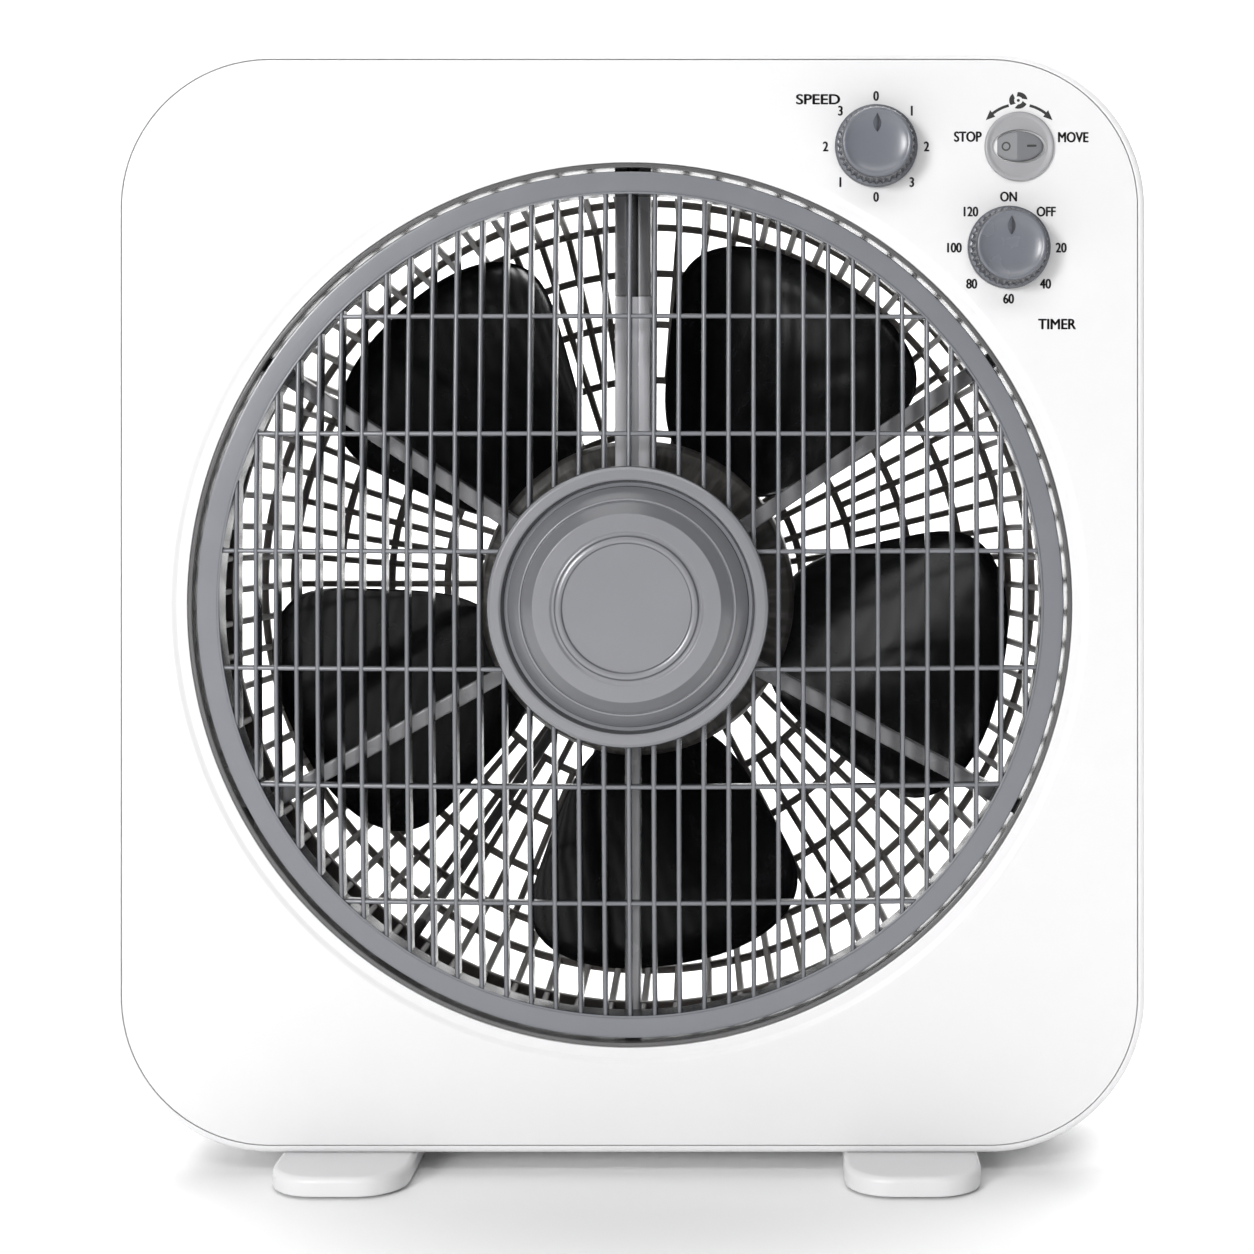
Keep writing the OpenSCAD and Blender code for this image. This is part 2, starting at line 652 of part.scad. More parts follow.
module knob(pos) {
    r = knob_d / 2;
    grip_r = r - 2.1;
    skirt_h = 4.2;
    at_depth(face_y) translate([pos[0], pos[1], 0]) {
        difference() {
            union() {
                rotate_extrude() polygon([[0, knob_gap], [r, knob_gap], [r - 0.3, skirt_h - 0.8], [r - 1.4, skirt_h],
                    [0, skirt_h]]);
                translate([0, 0, skirt_h - 0.5]) linear_extrude(knob_h - skirt_h - 0.7) polygon(fluted(grip_r, 36));
                rotate_extrude() polygon([[0, skirt_h - 1], [grip_r - 0.6, skirt_h - 1], [grip_r - 0.6, knob_h - 1],
                    [grip_r - 1.4, knob_h - 0.3], [grip_r - 2.4, knob_h - 0.3], [5, knob_h - 1.4], [0, knob_h - 1.6]]);
            }
            translate([0, 0, -1]) cylinder(r = control_shaft_r, h = 10, $fn = 48);
        }
        translate([0, 4.4, knob_h - 2.2]) cylinder(r = 1.5, h = 1.9, $fn = 32);
    }
}

module speed_knob() { color("dimgray") knob(speed_pos); }

module timer_knob() { color("dimgray") knob(timer_pos); }

module control_shaft(pos, rear_y) {
    at_depth(rear_y) translate([pos[0], pos[1], 0]) cylinder(r = control_shaft_r, h = rear_y - face_y + 8.8, $fn = 48);
}

module speed_shaft() { color("ivory") control_shaft(speed_pos, face_y + 20); }

module timer_shaft() { color("silver") control_shaft(timer_pos, face_y + 24); }

module control_case(pos, r, rear_y) {
    difference() {
        union() {
            at_depth(rear_y) translate([pos[0], pos[1], 0]) cylinder(r = r, h = rear_y - panel_y - 2.2, $fn = 64);
            at_depth(panel_y + 2.3) translate([pos[0], pos[1], 0]) cylinder(r = 5.4, h = 2.2, $fn = 48);
        }
        at_depth(rear_y - 2) translate([pos[0], pos[1], 0])
            cylinder(r = control_shaft_r + running_gap, h = rear_y - panel_y, $fn = 48);
    }
}

module speed_switch() { color("ivory") control_case(speed_pos, 16.5, face_y + 25); }

module timer_case() { color("silver") control_case(timer_pos, 17, face_y + 31); }

module rocker_bezel() {
    pin_len = 2 * (rocker_half_h + rocker_gap) + 1.2;
    color("silver") {
        at_depth(0) translate([rocker_pos[0], rocker_pos[1], 0]) difference() {
            union() {
                translate([0, 0, -face_y + 0.05]) cylinder(r1 = bezel_r, r2 = bezel_r - 0.7, h = 1.5, $fn = 96);
                translate([0, 0, -face_y - 8]) cylinder(r = rocker_half_w + 1.4, h = 8.1, $fn = 96);
            }
            translate([0, 0, -face_y - 9]) linear_extrude(12) oval(rocker_half_w + rocker_gap, rocker_half_h + rocker_gap);
        }
        translate([rocker_pos[0], rocker_pivot_y, rocker_pos[1] - pin_len / 2])
            cylinder(r = rocker_pin_r, h = pin_len, $fn = 32);
    }
}

module rocker_button() {
    // Two flats meet at the middle; the sides are part of a cylinder about the pivot.
    color("gray") translate([rocker_pos[0], rocker_pivot_y, rocker_pos[1]]) rotate([0, 0, -rocker_travel / 2])
        difference() {
            intersection() {
                rotate([90, 0, 0]) translate([0, 0, -3]) linear_extrude(9) oval(rocker_half_w, rocker_half_h);
                translate([0, 0, -10]) cylinder(r = rocker_half_w + 0.05, h = 20, $fn = 96);
                union() {
                    for (s = [-1, 1]) rotate([0, 0, -s * rocker_travel / 4]) translate([s * 10, 0, 0])
                        cube([20, 8.6, 30], center = true);
                }
            }
            translate([0, 0, -10]) cylinder(r = rocker_pin_r + running_gap, h = 20, $fn = 32);
        }
}

module rocker_switch_case() {
    color("dimgray") {
        slab(face_y + 8.2, face_y + 24) translate(rocker_pos) square([19, 12.6], center = true);
        for (s = [-1, 0, 1]) slab(face_y + 23.9, face_y + 31) translate([rocker_pos[0] + 6 * s, rocker_pos[1]])
            square([0.8, 4.8], center = true);
    }
}

// ---------------------------------------------------------------- wiring

module capacitor() {
    color("lightgray") translate([-166, 0.5, foot_h + 44]) cube([30, 16.8, 36]);
}

module terminal_block() {
    color("ivory") difference() {
        translate(terminal_pos) cube([26, 15, 13]);
        for (i = [0 : 2]) translate(terminal_pos + [4.5 + 8.5 * i, 8, 6]) cylinder(r = 2.4, h = 20, $fn = 32);
    }
}

module motor_lead() {
    a = 236.25;
    color("dimgray") lead([
        polar(motor_r + 0.1, a, 52), polar(140, a, 54), polar(151, a, 26), polar(154, a, 4),
        polar(177, a, 2), [-117, 2, foot_h + 17.4]
    ], 2.2);
}

module swing_lead() {
    color("dimgray") lead([
        [0, spoke_front_y + 4.6, axis_z + swing_motor_r + 0.1], [0, spoke_front_y + 4.6, axis_z + 160.5],
        [12, face_y + 34, axis_z + 172], [120, face_y + 36, axis_z + 176], [rocker_pos[0] - 6, face_y + 33, rocker_pos[1]],
        [rocker_pos[0] - 6, face_y + 31.1, rocker_pos[1]]
    ], 1.6);
}

// ---------------------------------------------------------------- feet and fasteners

module foot(side) {
    pad_z = 1;
    y0 = foot_len / 2 - foot_end_r;
    difference() {
        translate([side * foot_pitch / 2, 0, pad_z]) linear_extrude(foot_h - pad_z - 0.05) {
            square([foot_w, foot_len - 2 * foot_end_r], center = true);
            square([foot_w - 2 * foot_end_r, foot_len], center = true);
            for (sx = [-1, 1]) for (sy = [-1, 1])
                translate([sx * (foot_w / 2 - foot_end_r), sy * y0]) circle(foot_end_r);
        }
        for (y = foot_screw_y) translate([side * foot_pitch / 2, y, 0]) {
            cylinder(r = 1.9, h = 20, $fn = 32);
            cylinder(r = 4, h = 4, $fn = 32);
        }
        for (y = [-1, 1]) translate([side * foot_pitch / 2, y * (foot_len / 2 - pad_inset), 0])
            cylinder(r = pad_r + 0.1, h = pad_z + 1, $fn = 48);
    }
}

module left_foot() { color("white") foot(-1); }

module right_foot() { color("white") foot(1); }

module foot_pads() {
    color("black") for (s = [-1, 1]) for (y = [-1, 1])
        translate([s * foot_pitch / 2, y * (foot_len / 2 - pad_inset), 0]) cylinder(r = pad_r, h = 1.95, $fn = 48);
}

module foot_screws() {
    color("silver") for (s = [-1, 1]) for (y = foot_screw_y)
        translate([s * foot_pitch / 2, y, 1.9]) screw(3.6, 2, 1.8, 8);
}

module housing_screws() {
    color("silver") for (p = housing_screw_at)
        rear_screw(p[0], body_z + p[1], back_y + 2, 3.4, 1.9, 1.35, 18);
}

module grille_screws() {
    color("silver") round_axis(back_y + 1.65, grille_screw_r, grille_bolts) screw(3, 1.6, 1.35, 6);
}

module spider_screws() {
    color("silver") round_axis(panel_y + 4.25, spider_screw_r, spider_bolts) screw(4, 1.8, 1.3, 3);
}

front_panel();
rear_housing();
rear_grille();
louvre_spider();
channel_cover();
louvre_grille();
louvre_cap();
wheel_screw();
swing_motor();
swing_shaft();
swing_motor_screws();
fan_blade();
blade_nut();
main_shaft();
drive_pin();
rotor_core();
motor_front_shell();
motor_rear_shell();
stator_core();
stator_windings();
front_bearing();
rear_bearing();
motor_screws();
speed_knob();
speed_shaft();
speed_switch();
timer_knob();
timer_shaft();
timer_case();
rocker_bezel();
rocker_button();
rocker_switch_case();
capacitor();
terminal_block();
motor_lead();
swing_lead();
cord_gland();
left_foot();
right_foot();
foot_pads();
foot_screws();
housing_screws();
grille_screws();
spider_screws();
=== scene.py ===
"""A square box fan with a turning louvre wheel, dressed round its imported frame.

Every sub-assembly is a class that holds its own sizes and builds its own meshes. Places come from the
frame's nodes. Sizes are in metres, written as millimetres times MM.
"""

import json
import logging
import math
from collections.abc import Callable, Sequence
from dataclasses import dataclass
from enum import Enum

import bmesh
import bpy
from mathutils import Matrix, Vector
from mathutils.geometry import tessellate_polygon


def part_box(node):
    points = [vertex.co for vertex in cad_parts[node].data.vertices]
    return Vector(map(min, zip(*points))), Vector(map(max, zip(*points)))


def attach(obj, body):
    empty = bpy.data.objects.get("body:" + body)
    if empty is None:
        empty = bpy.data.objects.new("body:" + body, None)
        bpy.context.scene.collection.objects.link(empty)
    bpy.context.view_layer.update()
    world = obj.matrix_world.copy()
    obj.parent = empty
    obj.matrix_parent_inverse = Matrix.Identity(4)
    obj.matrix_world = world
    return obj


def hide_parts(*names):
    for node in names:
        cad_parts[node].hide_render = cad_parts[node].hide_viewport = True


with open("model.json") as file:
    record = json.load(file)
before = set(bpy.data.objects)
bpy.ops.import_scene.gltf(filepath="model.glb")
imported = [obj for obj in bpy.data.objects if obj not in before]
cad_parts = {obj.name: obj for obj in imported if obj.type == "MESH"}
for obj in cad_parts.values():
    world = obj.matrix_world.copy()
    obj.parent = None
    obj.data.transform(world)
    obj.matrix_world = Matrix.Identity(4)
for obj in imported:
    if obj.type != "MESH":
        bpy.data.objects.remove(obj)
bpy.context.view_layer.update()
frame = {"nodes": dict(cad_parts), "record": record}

LOG = logging.getLogger("box_fan")
MM = 0.001
FULL_TURN = 2 * math.pi
FINE_GRAIN = 0.006 * MM

Flat = tuple[float, float]
Colour = tuple[float, float, float]
Loop = list[Vector]


# ------------------------------------------------------------------ shader maths


class Signal:
    """An output socket that can be used in Python expressions; each operator adds one Math node."""

    def __init__(self, graph: "Graph", socket: bpy.types.NodeSocket) -> None:
        """Keeps the graph that the socket belongs to, and the socket."""
        self.graph = graph
        self.socket = socket

    def __add__(self, other: "Signal | float") -> "Signal":
        """self + other."""
        return self.graph.maths("ADD", self, other)

    def __radd__(self, other: float) -> "Signal":
        """other + self."""
        return self.graph.maths("ADD", other, self)

    def __sub__(self, other: "Signal | float") -> "Signal":
        """self - other."""
        return self.graph.maths("SUBTRACT", self, other)

    def __rsub__(self, other: float) -> "Signal":
        """other - self."""
        return self.graph.maths("SUBTRACT", other, self)

    def __mul__(self, other: "Signal | float") -> "Signal":
        """self * other."""
        return self.graph.maths("MULTIPLY", self, other)

    def __rmul__(self, other: float) -> "Signal":
        """other * self."""
        return self.graph.maths("MULTIPLY", other, self)

    def __truediv__(self, other: "Signal | float") -> "Signal":
        """self / other."""
        return self.graph.maths("DIVIDE", self, other)

    def __pow__(self, other: float) -> "Signal":
        """self to the power other."""
        return self.graph.maths("POWER", self, other)

    def over(self, low: float, high: float) -> "Signal":
        """0 below low, 1 above high, and a smooth step between them.

        Args:
            low: Where the step starts.
            high: Where the step ends.

        Returns:
            The stepped signal.
        """
        node = self.graph.node("ShaderNodeMapRange", {"interpolation_type": "SMOOTHSTEP"},
                               {0: self, 1: low, 2: high})
        return self.graph.signal(node)


class Graph:
    """The node tree of one new material."""

    def __init__(self, name: str) -> None:
        """Makes an empty material with that name."""
        self.material = bpy.data.materials.new(name)
        self.material.use_nodes = True
        self.tree = self.material.node_tree
        self.tree.nodes.clear()

    def node(self, kind: str, settings: dict | None = None, inputs: dict | None = None) -> bpy.types.Node:
        """Adds one node.

        Args:
            kind: The node's type.
            settings: Its own properties, set first; "stops" is a ramp's list of (place, colour).
            inputs: Values or signals for its sockets, by name or number.

        Returns:
            The new node.
        """
        made = self.tree.nodes.new(kind)
        for key, value in (settings or {}).items():
            if key == "stops":
                self._set_stops(made.color_ramp, value)
            else:
                setattr(made, key, value)
        for key, value in (inputs or {}).items():
            if isinstance(value, Signal):
                self.tree.links.new(value.socket, made.inputs[key])
            else:
                made.inputs[key].default_value = value
        return made

    @staticmethod
    def _set_stops(ramp: bpy.types.ColorRamp, stops: Sequence[tuple[float, Colour]]) -> None:
        """Writes a colour ramp's stops."""
        while len(ramp.elements) < len(stops):
            ramp.elements.new(1.0)
        for element, (place, colour) in zip(ramp.elements, stops):
            element.position = place
            element.color = (*colour, 1.0)

    def signal(self, node: bpy.types.Node, output: int | str = 0) -> Signal:
        """Wraps one of a node's outputs."""
        return Signal(self, node.outputs[output])

    def maths(self, operation: str, *terms: Signal | float) -> Signal:
        """One Math node on its terms."""
        return self.signal(self.node("ShaderNodeMath", {"operation": operation}, dict(enumerate(terms))))

    def place(self) -> Signal:
        """The point being shaded, in the piece's own coordinates."""
        return self.signal(self.node("ShaderNodeTexCoord"), "Object")

    def parts(self, vector: Signal) -> tuple[Signal, Signal, Signal]:
        """A vector's three numbers."""
        split = self.node("ShaderNodeSeparateXYZ", None, {0: vector})
        return self.signal(split, 0), self.signal(split, 1), self.signal(split, 2)

    def vector(self, x: Signal | float, y: Signal | float, z: Signal | float) -> Signal:
        """Three numbers as a vector."""
        return self.signal(self.node("ShaderNodeCombineXYZ", None, {0: x, 1: y, 2: z}))

    def noise(self, vector: Signal, scale: float, detail: float = 2.0, warp: float = 0.0) -> Signal:
        """A noise value from about 0 to 1 at a number of bumps per metre."""
        inputs = {"Vector": vector, "Scale": scale, "Detail": detail, "Distortion": warp}
        return self.signal(self.node("ShaderNodeTexNoise", None, inputs))

    def blend(self, share: Signal, first: Colour | Signal, second: Colour | Signal) -> Signal:
        """A colour between two others.

        Args:
            share: 0 gives the first colour and 1 the second.
            first: The first colour.
            second: The second colour.

        Returns:
            The mixed colour.
        """
        ends = [c if isinstance(c, Signal) else (*c, 1.0) for c in (first, second)]
        node = self.node("ShaderNodeMix", {"data_type": "RGBA"}, {0: share, 6: ends[0], 7: ends[1]})
        return self.signal(node, 2)

    def bump(self, height: Signal, distance: float, strength: float = 1.0) -> Signal:
        """A normal from a height, where distance is how high 1 stands, in metres."""
        return self.signal(self.node("ShaderNodeBump", None,
                                     {"Height": height, "Distance": distance, "Strength": strength}))

    def dress(self, **sockets: Signal | float) -> bpy.types.Material:
        """Ends the graph in one Principled shader, whose sockets are named with _ for a space."""
        named = {key.replace("_", " ").title().replace("Ior", "IOR"): value for key, value in sockets.items()}
        shader = self.node("ShaderNodeBsdfPrincipled", None, named)
        self.node("ShaderNodeOutputMaterial", None, {"Surface": self.signal(shader)})
        return self.material


def scaled(colour: Colour, factor: float) -> Colour:
    """A colour made lighter or darker, kept within range."""
    return tuple(min(1.0, c * factor) for c in colour)


# ------------------------------------------------------------------ finishes


@dataclass(frozen=True)
class MouldedPlastic:
    """Injection-moulded plastic with a fine spark-eroded grain and faint flow marks, and optional painted
    shade.

    Attributes:
        name: The material's name.
        colour: Its mean colour.
        roughness: Its mean roughness.
        drift: How far colour and roughness wander over a hand's width.
        grain: Size of the moulded grain.
        grain_depth: Height of the moulded grain.
        gloss: Weight of a thin clear skin, as polished plastic has.
        painted_shade: How much darker the colour is painted on faces that turn away from the front, as
            painted shade.
    """

    name: str
    colour: Colour
    roughness: float = 0.4
    drift: float = 0.05
    grain: float = 0.7 * MM
    grain_depth: float = 0.012 * MM
    gloss: float = 0.0
    painted_shade: float = 0.0

    def material(self) -> bpy.types.Material:
        """Builds the material."""
        graph = Graph(self.name)
        place = graph.place()
        flow = graph.noise(place, 11.0, 3.0, 0.6)
        smudge = graph.noise(place, 60.0, 5.0).over(0.45, 0.7)
        grain = graph.noise(place, 1 / self.grain, 3.0)
        tone = flow * 0.75 + smudge * 0.25
        colour = graph.blend(tone, scaled(self.colour, 1 - self.drift), scaled(self.colour, 1 + self.drift))
        # Painted shade: the base colour darkens on faces that turn away from the front, by the square of the
        # normal's y.
        if self.painted_shade:
            facing = graph.parts(graph.signal(graph.node("ShaderNodeNewGeometry"), "Normal"))[1]
            colour = graph.blend(facing ** 2, scaled(self.colour, 1 - self.painted_shade), colour)
        swing = 2 * self.drift * self.roughness
        roughness = self.roughness * (1 - self.drift) + flow * swing + smudge * 0.03
        return graph.dress(base_color=colour, roughness=roughness, normal=graph.bump(grain, self.grain_depth),
                           coat_weight=self.gloss, coat_roughness=0.12)


@dataclass(frozen=True)
class PolishedBlack:
    """Glossy black plastic, whose surface shows slow waves and, on the hub, streaks that run outwards.

    Attributes:
        name: The material's name.
        colour: Its mean colour.
        centre: Where the streaks start, as (x, z).
        streak: How strongly the streaks lighten the colour.
        roughness: Its mean roughness.
        wave_depth: Height of the slow waves.
    """

    name: str
    colour: Colour
    centre: Flat
    streak: float = 0.5
    roughness: float = 0.16
    wave_depth: float = 0.5 * MM

    def material(self) -> bpy.types.Material:
        """Builds the material."""
        graph = Graph(self.name)
        place = graph.place()
        x, _, z = graph.parts(place)
        x = x - self.centre[0]
        z = z - self.centre[1]
        reach = (x * x + z * z) ** 0.5 + 0.0001
        rays = graph.noise(graph.vector(x / reach, z / reach, reach * 6.0), 13.0, 5.0)
        waves = graph.noise(place, 26.0, 1.0, 1.2)
        speck = graph.noise(place, 900.0, 2.0)
        light = scaled(self.colour, 1 + 2 * self.streak)
        colour = graph.blend(rays.over(0.42, 0.75), scaled(self.colour, 1 - self.streak / 3), light)
        roughness = rays * 0.10 + speck * 0.04 + (self.roughness - 0.07)
        height = waves * self.wave_depth + speck * (0.004 * MM)
        return graph.dress(base_color=colour, roughness=roughness, normal=graph.bump(height, 1.0),
                           specular_ior_level=0.22)


@dataclass(frozen=True)
class Metal:
    """Bare metal with fine random scratches and dull patches.

    Attributes:
        name: The material's name.
        colour: Its mean colour.
        roughness: Its mean roughness.
        scratch: Number of scratches per metre across their run.
        metallic: 1 for bare metal, lower where an oxide or enamel covers it.
    """

    name: str
    colour: Colour
    roughness: float = 0.3
    scratch: float = 1500.0
    metallic: float = 1.0

    def material(self) -> bpy.types.Material:
        """Builds the material."""
        graph = Graph(self.name)
        place = graph.place()
        x, y, z = graph.parts(place)
        lines = graph.noise(graph.vector(x, y * 0.03, z), self.scratch, 2.0)
        patch = graph.noise(place, 45.0, 4.0, 0.8)
        colour = graph.blend(patch, scaled(self.colour, 0.82), scaled(self.colour, 1.12))
        roughness = self.roughness * 0.7 + lines * 0.12 + patch * (self.roughness * 0.5)
        return graph.dress(base_color=colour, roughness=roughness, metallic=self.metallic,
                           normal=graph.bump(lines, 0.006 * MM))


@dataclass(frozen=True)
class Layered:
    """A stack of thin layers along y, such as laminations or turns of wire.

    Attributes:
        name: The material's name.
        colour: Its mean colour.
        pitch: Thickness of one layer.
        metallic: How metallic it is.
        roughness: Its mean roughness.
        ridge: Height of each layer's edge.
    """

    name: str
    colour: Colour
    pitch: float = 0.6 * MM
    metallic: float = 0.8
    roughness: float = 0.42
    ridge: float = 0.05 * MM

    def material(self) -> bpy.types.Material:
        """Builds the material."""
        graph = Graph(self.name)
        place = graph.place()
        _, y, _ = graph.parts(place)
        turns = graph.maths("SINE", y * (FULL_TURN / self.pitch)) * 0.5 + 0.5
        patch = graph.noise(place, 120.0, 3.0)
        colour = graph.blend(turns * 0.6 + patch * 0.4, scaled(self.colour, 0.6), scaled(self.colour, 1.15))
        return graph.dress(base_color=colour, roughness=self.roughness - 0.06 + patch * 0.12,
                           metallic=self.metallic, normal=graph.bump(turns, self.ridge))


@dataclass(frozen=True)
class SoftRubber:
    """Matte rubber or flexible sheath with a dusty bloom.

    Attributes:
        name: The material's name.
        colour: Its mean colour.
        roughness: Its mean roughness.
    """

    name: str
    colour: Colour
    roughness: float = 0.75

    def material(self) -> bpy.types.Material:
        """Builds the material."""
        graph = Graph(self.name)
        place = graph.place()
        bloom = graph.noise(place, 70.0, 5.0, 0.4).over(0.4, 0.75)
        pits = graph.noise(place, 1600.0, 2.0)
        colour = graph.blend(bloom, self.colour, scaled(self.colour, 1.7))
        return graph.dress(base_color=colour, roughness=self.roughness + bloom * 0.1,
                           normal=graph.bump(pits, 0.03 * MM))


class Slot(Enum):
    """The record's material slots that the new pieces stand for."""

    SHELL = "white_shell"
    TRIM = "grey_trim"
    CAP = "cap_grey"
    NET = "dark_net"
    KNOB = "knob_slate"
    BEZEL = "bezel_grey"
    BLADE = "blade_black"
    BLACK = "black_plastic"
    STEEL = "steel"


AXIS = (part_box("main_shaft")[0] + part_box("main_shaft")[1]) / 2
AXIS_PLACE: Flat = (AXIS.x, AXIS.z)

FINISHES = {
    "white_shell": MouldedPlastic("satin_white", (0.69, 0.687, 0.694), 0.36, 0.012),
    # The louvre, cap and dial greys below carry painted shade: their faces that turn away from the front are
    # painted darker.
    "grey_trim": MouldedPlastic("louvre_grey", (0.17, 0.176, 0.193), 0.22, 0.05, painted_shade=0.75),
    "spider_grey": MouldedPlastic("spider_grey", (0.24, 0.24, 0.25), 0.26, 0.07),
    # The spider's rim: the spider's grey made darker, as painted shade in the gap round the wheel.
    "rim_painted_shade": MouldedPlastic("support_rim_painted_shade", (0.1, 0.098, 0.1), 0.16, 0.08),
    "channel_grey": MouldedPlastic("channel_grey", (0.52, 0.52, 0.545), 0.3, 0.07),
    "cap_grey": MouldedPlastic("cap_grey", (0.2, 0.203, 0.217), 0.22, 0.03, grain_depth=FINE_GRAIN,
                               painted_shade=0.75),
    "dark_net": MouldedPlastic("net_brown", (0.07, 0.062, 0.056), 0.4, 0.14),
    "knob_slate": MouldedPlastic("dial_slate", (0.14, 0.147, 0.17), 0.26, 0.06, grain_depth=FINE_GRAIN,
                                 painted_shade=0.7),
    "rocker_grey": MouldedPlastic("rocker_grey", (0.12, 0.123, 0.132), 0.45, 0.05, grain_depth=FINE_GRAIN),
    "bezel_grey": MouldedPlastic("bezel_grey", (0.3, 0.3, 0.312), 0.36, 0.04),
    "blade_black": PolishedBlack("blade_black", (0.0035, 0.0035, 0.004), AXIS_PLACE),
    # The hub is the blades' black plastic with a lighter base colour: a painted reflection.
    "hub_painted_reflection": PolishedBlack("black_hub_with_painted_reflection", (0.06, 0.057, 0.054), AXIS_PLACE, 0.5, 0.34, 0.1 * MM),
    "black_plastic": MouldedPlastic("black_nylon", (0.018, 0.018, 0.019), 0.45, 0.15),
    "steel": Metal("zinc_screw", (0.62, 0.62, 0.6), 0.28),
    "motor_steel": Metal("motor_can", (0.5, 0.51, 0.52), 0.36, 900.0),
    "laminations": Layered("lamination_stack", (0.2, 0.2, 0.21)),
    "copper_wire": Layered("enamelled_copper", (0.42, 0.13, 0.045), 0.7 * MM, 0.9, 0.3, 0.18 * MM),
    "bronze": Metal("sintered_bronze", (0.5, 0.31, 0.14), 0.45, 2600.0),
    "rubber_pad": SoftRubber("pad_rubber", (0.022, 0.022, 0.023)),
    "switch_plastic": MouldedPlastic("natural_nylon", (0.68, 0.64, 0.54), 0.45, 0.06),
    "capacitor_grey": MouldedPlastic("potted_box", (0.45, 0.45, 0.43), 0.5, 0.05),
    "lead_sheath": SoftRubber("lead_sheath", (0.03, 0.03, 0.032), 0.6),
    "print": MouldedPlastic("dial_print", (0.012, 0.012, 0.012), 0.55, 0.1),
}


class Paints:
    """Builds each finish once, when it is first asked for."""

    def __init__(self) -> None:
        """Starts with none built."""
        self._built: dict[str, bpy.types.Material] = {}

    def __getitem__(self, name: str) -> bpy.types.Material:
        """The material of one finish."""
        if name not in self._built:
            self._built[name] = FINISHES[name].material()
        return self._built[name]


# ------------------------------------------------------------------ outlines and sections


def circle(radius: float, count: int, centre: Flat = (0.0, 0.0)) -> list[Flat]:
    """Points round a circle."""
    angles = [FULL_TURN * i / count for i in range(count)]
    return [(centre[0] + radius * math.cos(a), centre[1] + radius * math.sin(a)) for a in angles]


def round_box(half_w: float, half_h: float, radius: float, count: int,
              centre: Flat = (0.0, 0.0)) -> list[Flat]:
    """Points round a box with round corners, evenly spaced by angle, so that it lofts to a circle.

    Args:
        half_w: Half its width.
        half_h: Half its height.
        radius: Radius of its corners; half_h gives a slot with round ends.
        count: Number of points.
        centre: Its middle.

    Returns:
        The points, counter-clockwise from the right.
    """
    points = []
    for i in range(count):
        c, s = math.cos(FULL_TURN * i / count), math.sin(FULL_TURN * i / count)
        reach = min(half_w / max(abs(c), 1e-9), half_h / max(abs(s), 1e-9))
        x, z = reach * abs(c), reach * abs(s)
        in_x, in_z = half_w - radius, half_h - radius
        if x > in_x and z > in_z:
            along = abs(c) * in_x + abs(s) * in_z
            reach = along + math.sqrt(max(0.0, along * along - in_x * in_x - in_z * in_z + radius * radius))
        points.append((centre[0] + reach * c, centre[1] + reach * s))
    return points


def oval(half_w: float, half_h: float, count: int, centre: Flat) -> list[Flat]:
    """Points round an ellipse."""
    return [(centre[0] + half_w * c, centre[1] + half_h * s) for c, s in circle(1.0, count)]


def softened(points: Sequence[Flat], radius: float, steps: int = 3, closed: bool = True) -> list[Flat]:
    """Rounds the corners of an outline; a corner on the axis (first number 0) stays sharp.

    Args:
        points: The outline's corners.
        radius: How far from each corner the rounding starts, less on short edges.
        steps: Number of segments in each rounding.
        closed: Whether the last point joins the first.

    Returns:
        The rounded outline.
    """
    made: list[Flat] = []
    count = len(points)
    for i, point in enumerate(points):
        here = Vector(point)
        before, after = Vector(points[i - 1]) - here, Vector(points[(i + 1) % count]) - here
        is_end = not closed and i in (0, count - 1)
        if is_end or abs(here.x) < 1e-9 or before.length < 1e-9 or after.length < 1e-9:
            made.append((here.x, here.y))
            continue
        start = here + before.normalized() * min(radius, before.length * 0.45)
        end = here + after.normalized() * min(radius, after.length * 0.45)
        for k in range(steps + 1):
            t = k / steps
            p = start * (1 - t) ** 2 + here * (2 * t * (1 - t)) + end * t * t
            made.append((p.x, p.y))
    return made


def strip(half: float, depth: float, radius: float) -> list[Flat]:
    """A bar's section: a rectangle with rounded corners, from depth 0 backwards."""
    return softened([(-half, 0), (half, 0), (half, depth), (-half, depth)], radius)


def quarter(centre: Flat, radius: float, start: float, end: float, steps: int = 8) -> list[Flat]:
    """Points along an arc, with its angles in degrees."""
    angles = [math.radians(start + (end - start) * i / steps) for i in range(steps + 1)]
    return [(centre[0] + radius * math.cos(a), centre[1] + radius * math.sin(a)) for a in angles]


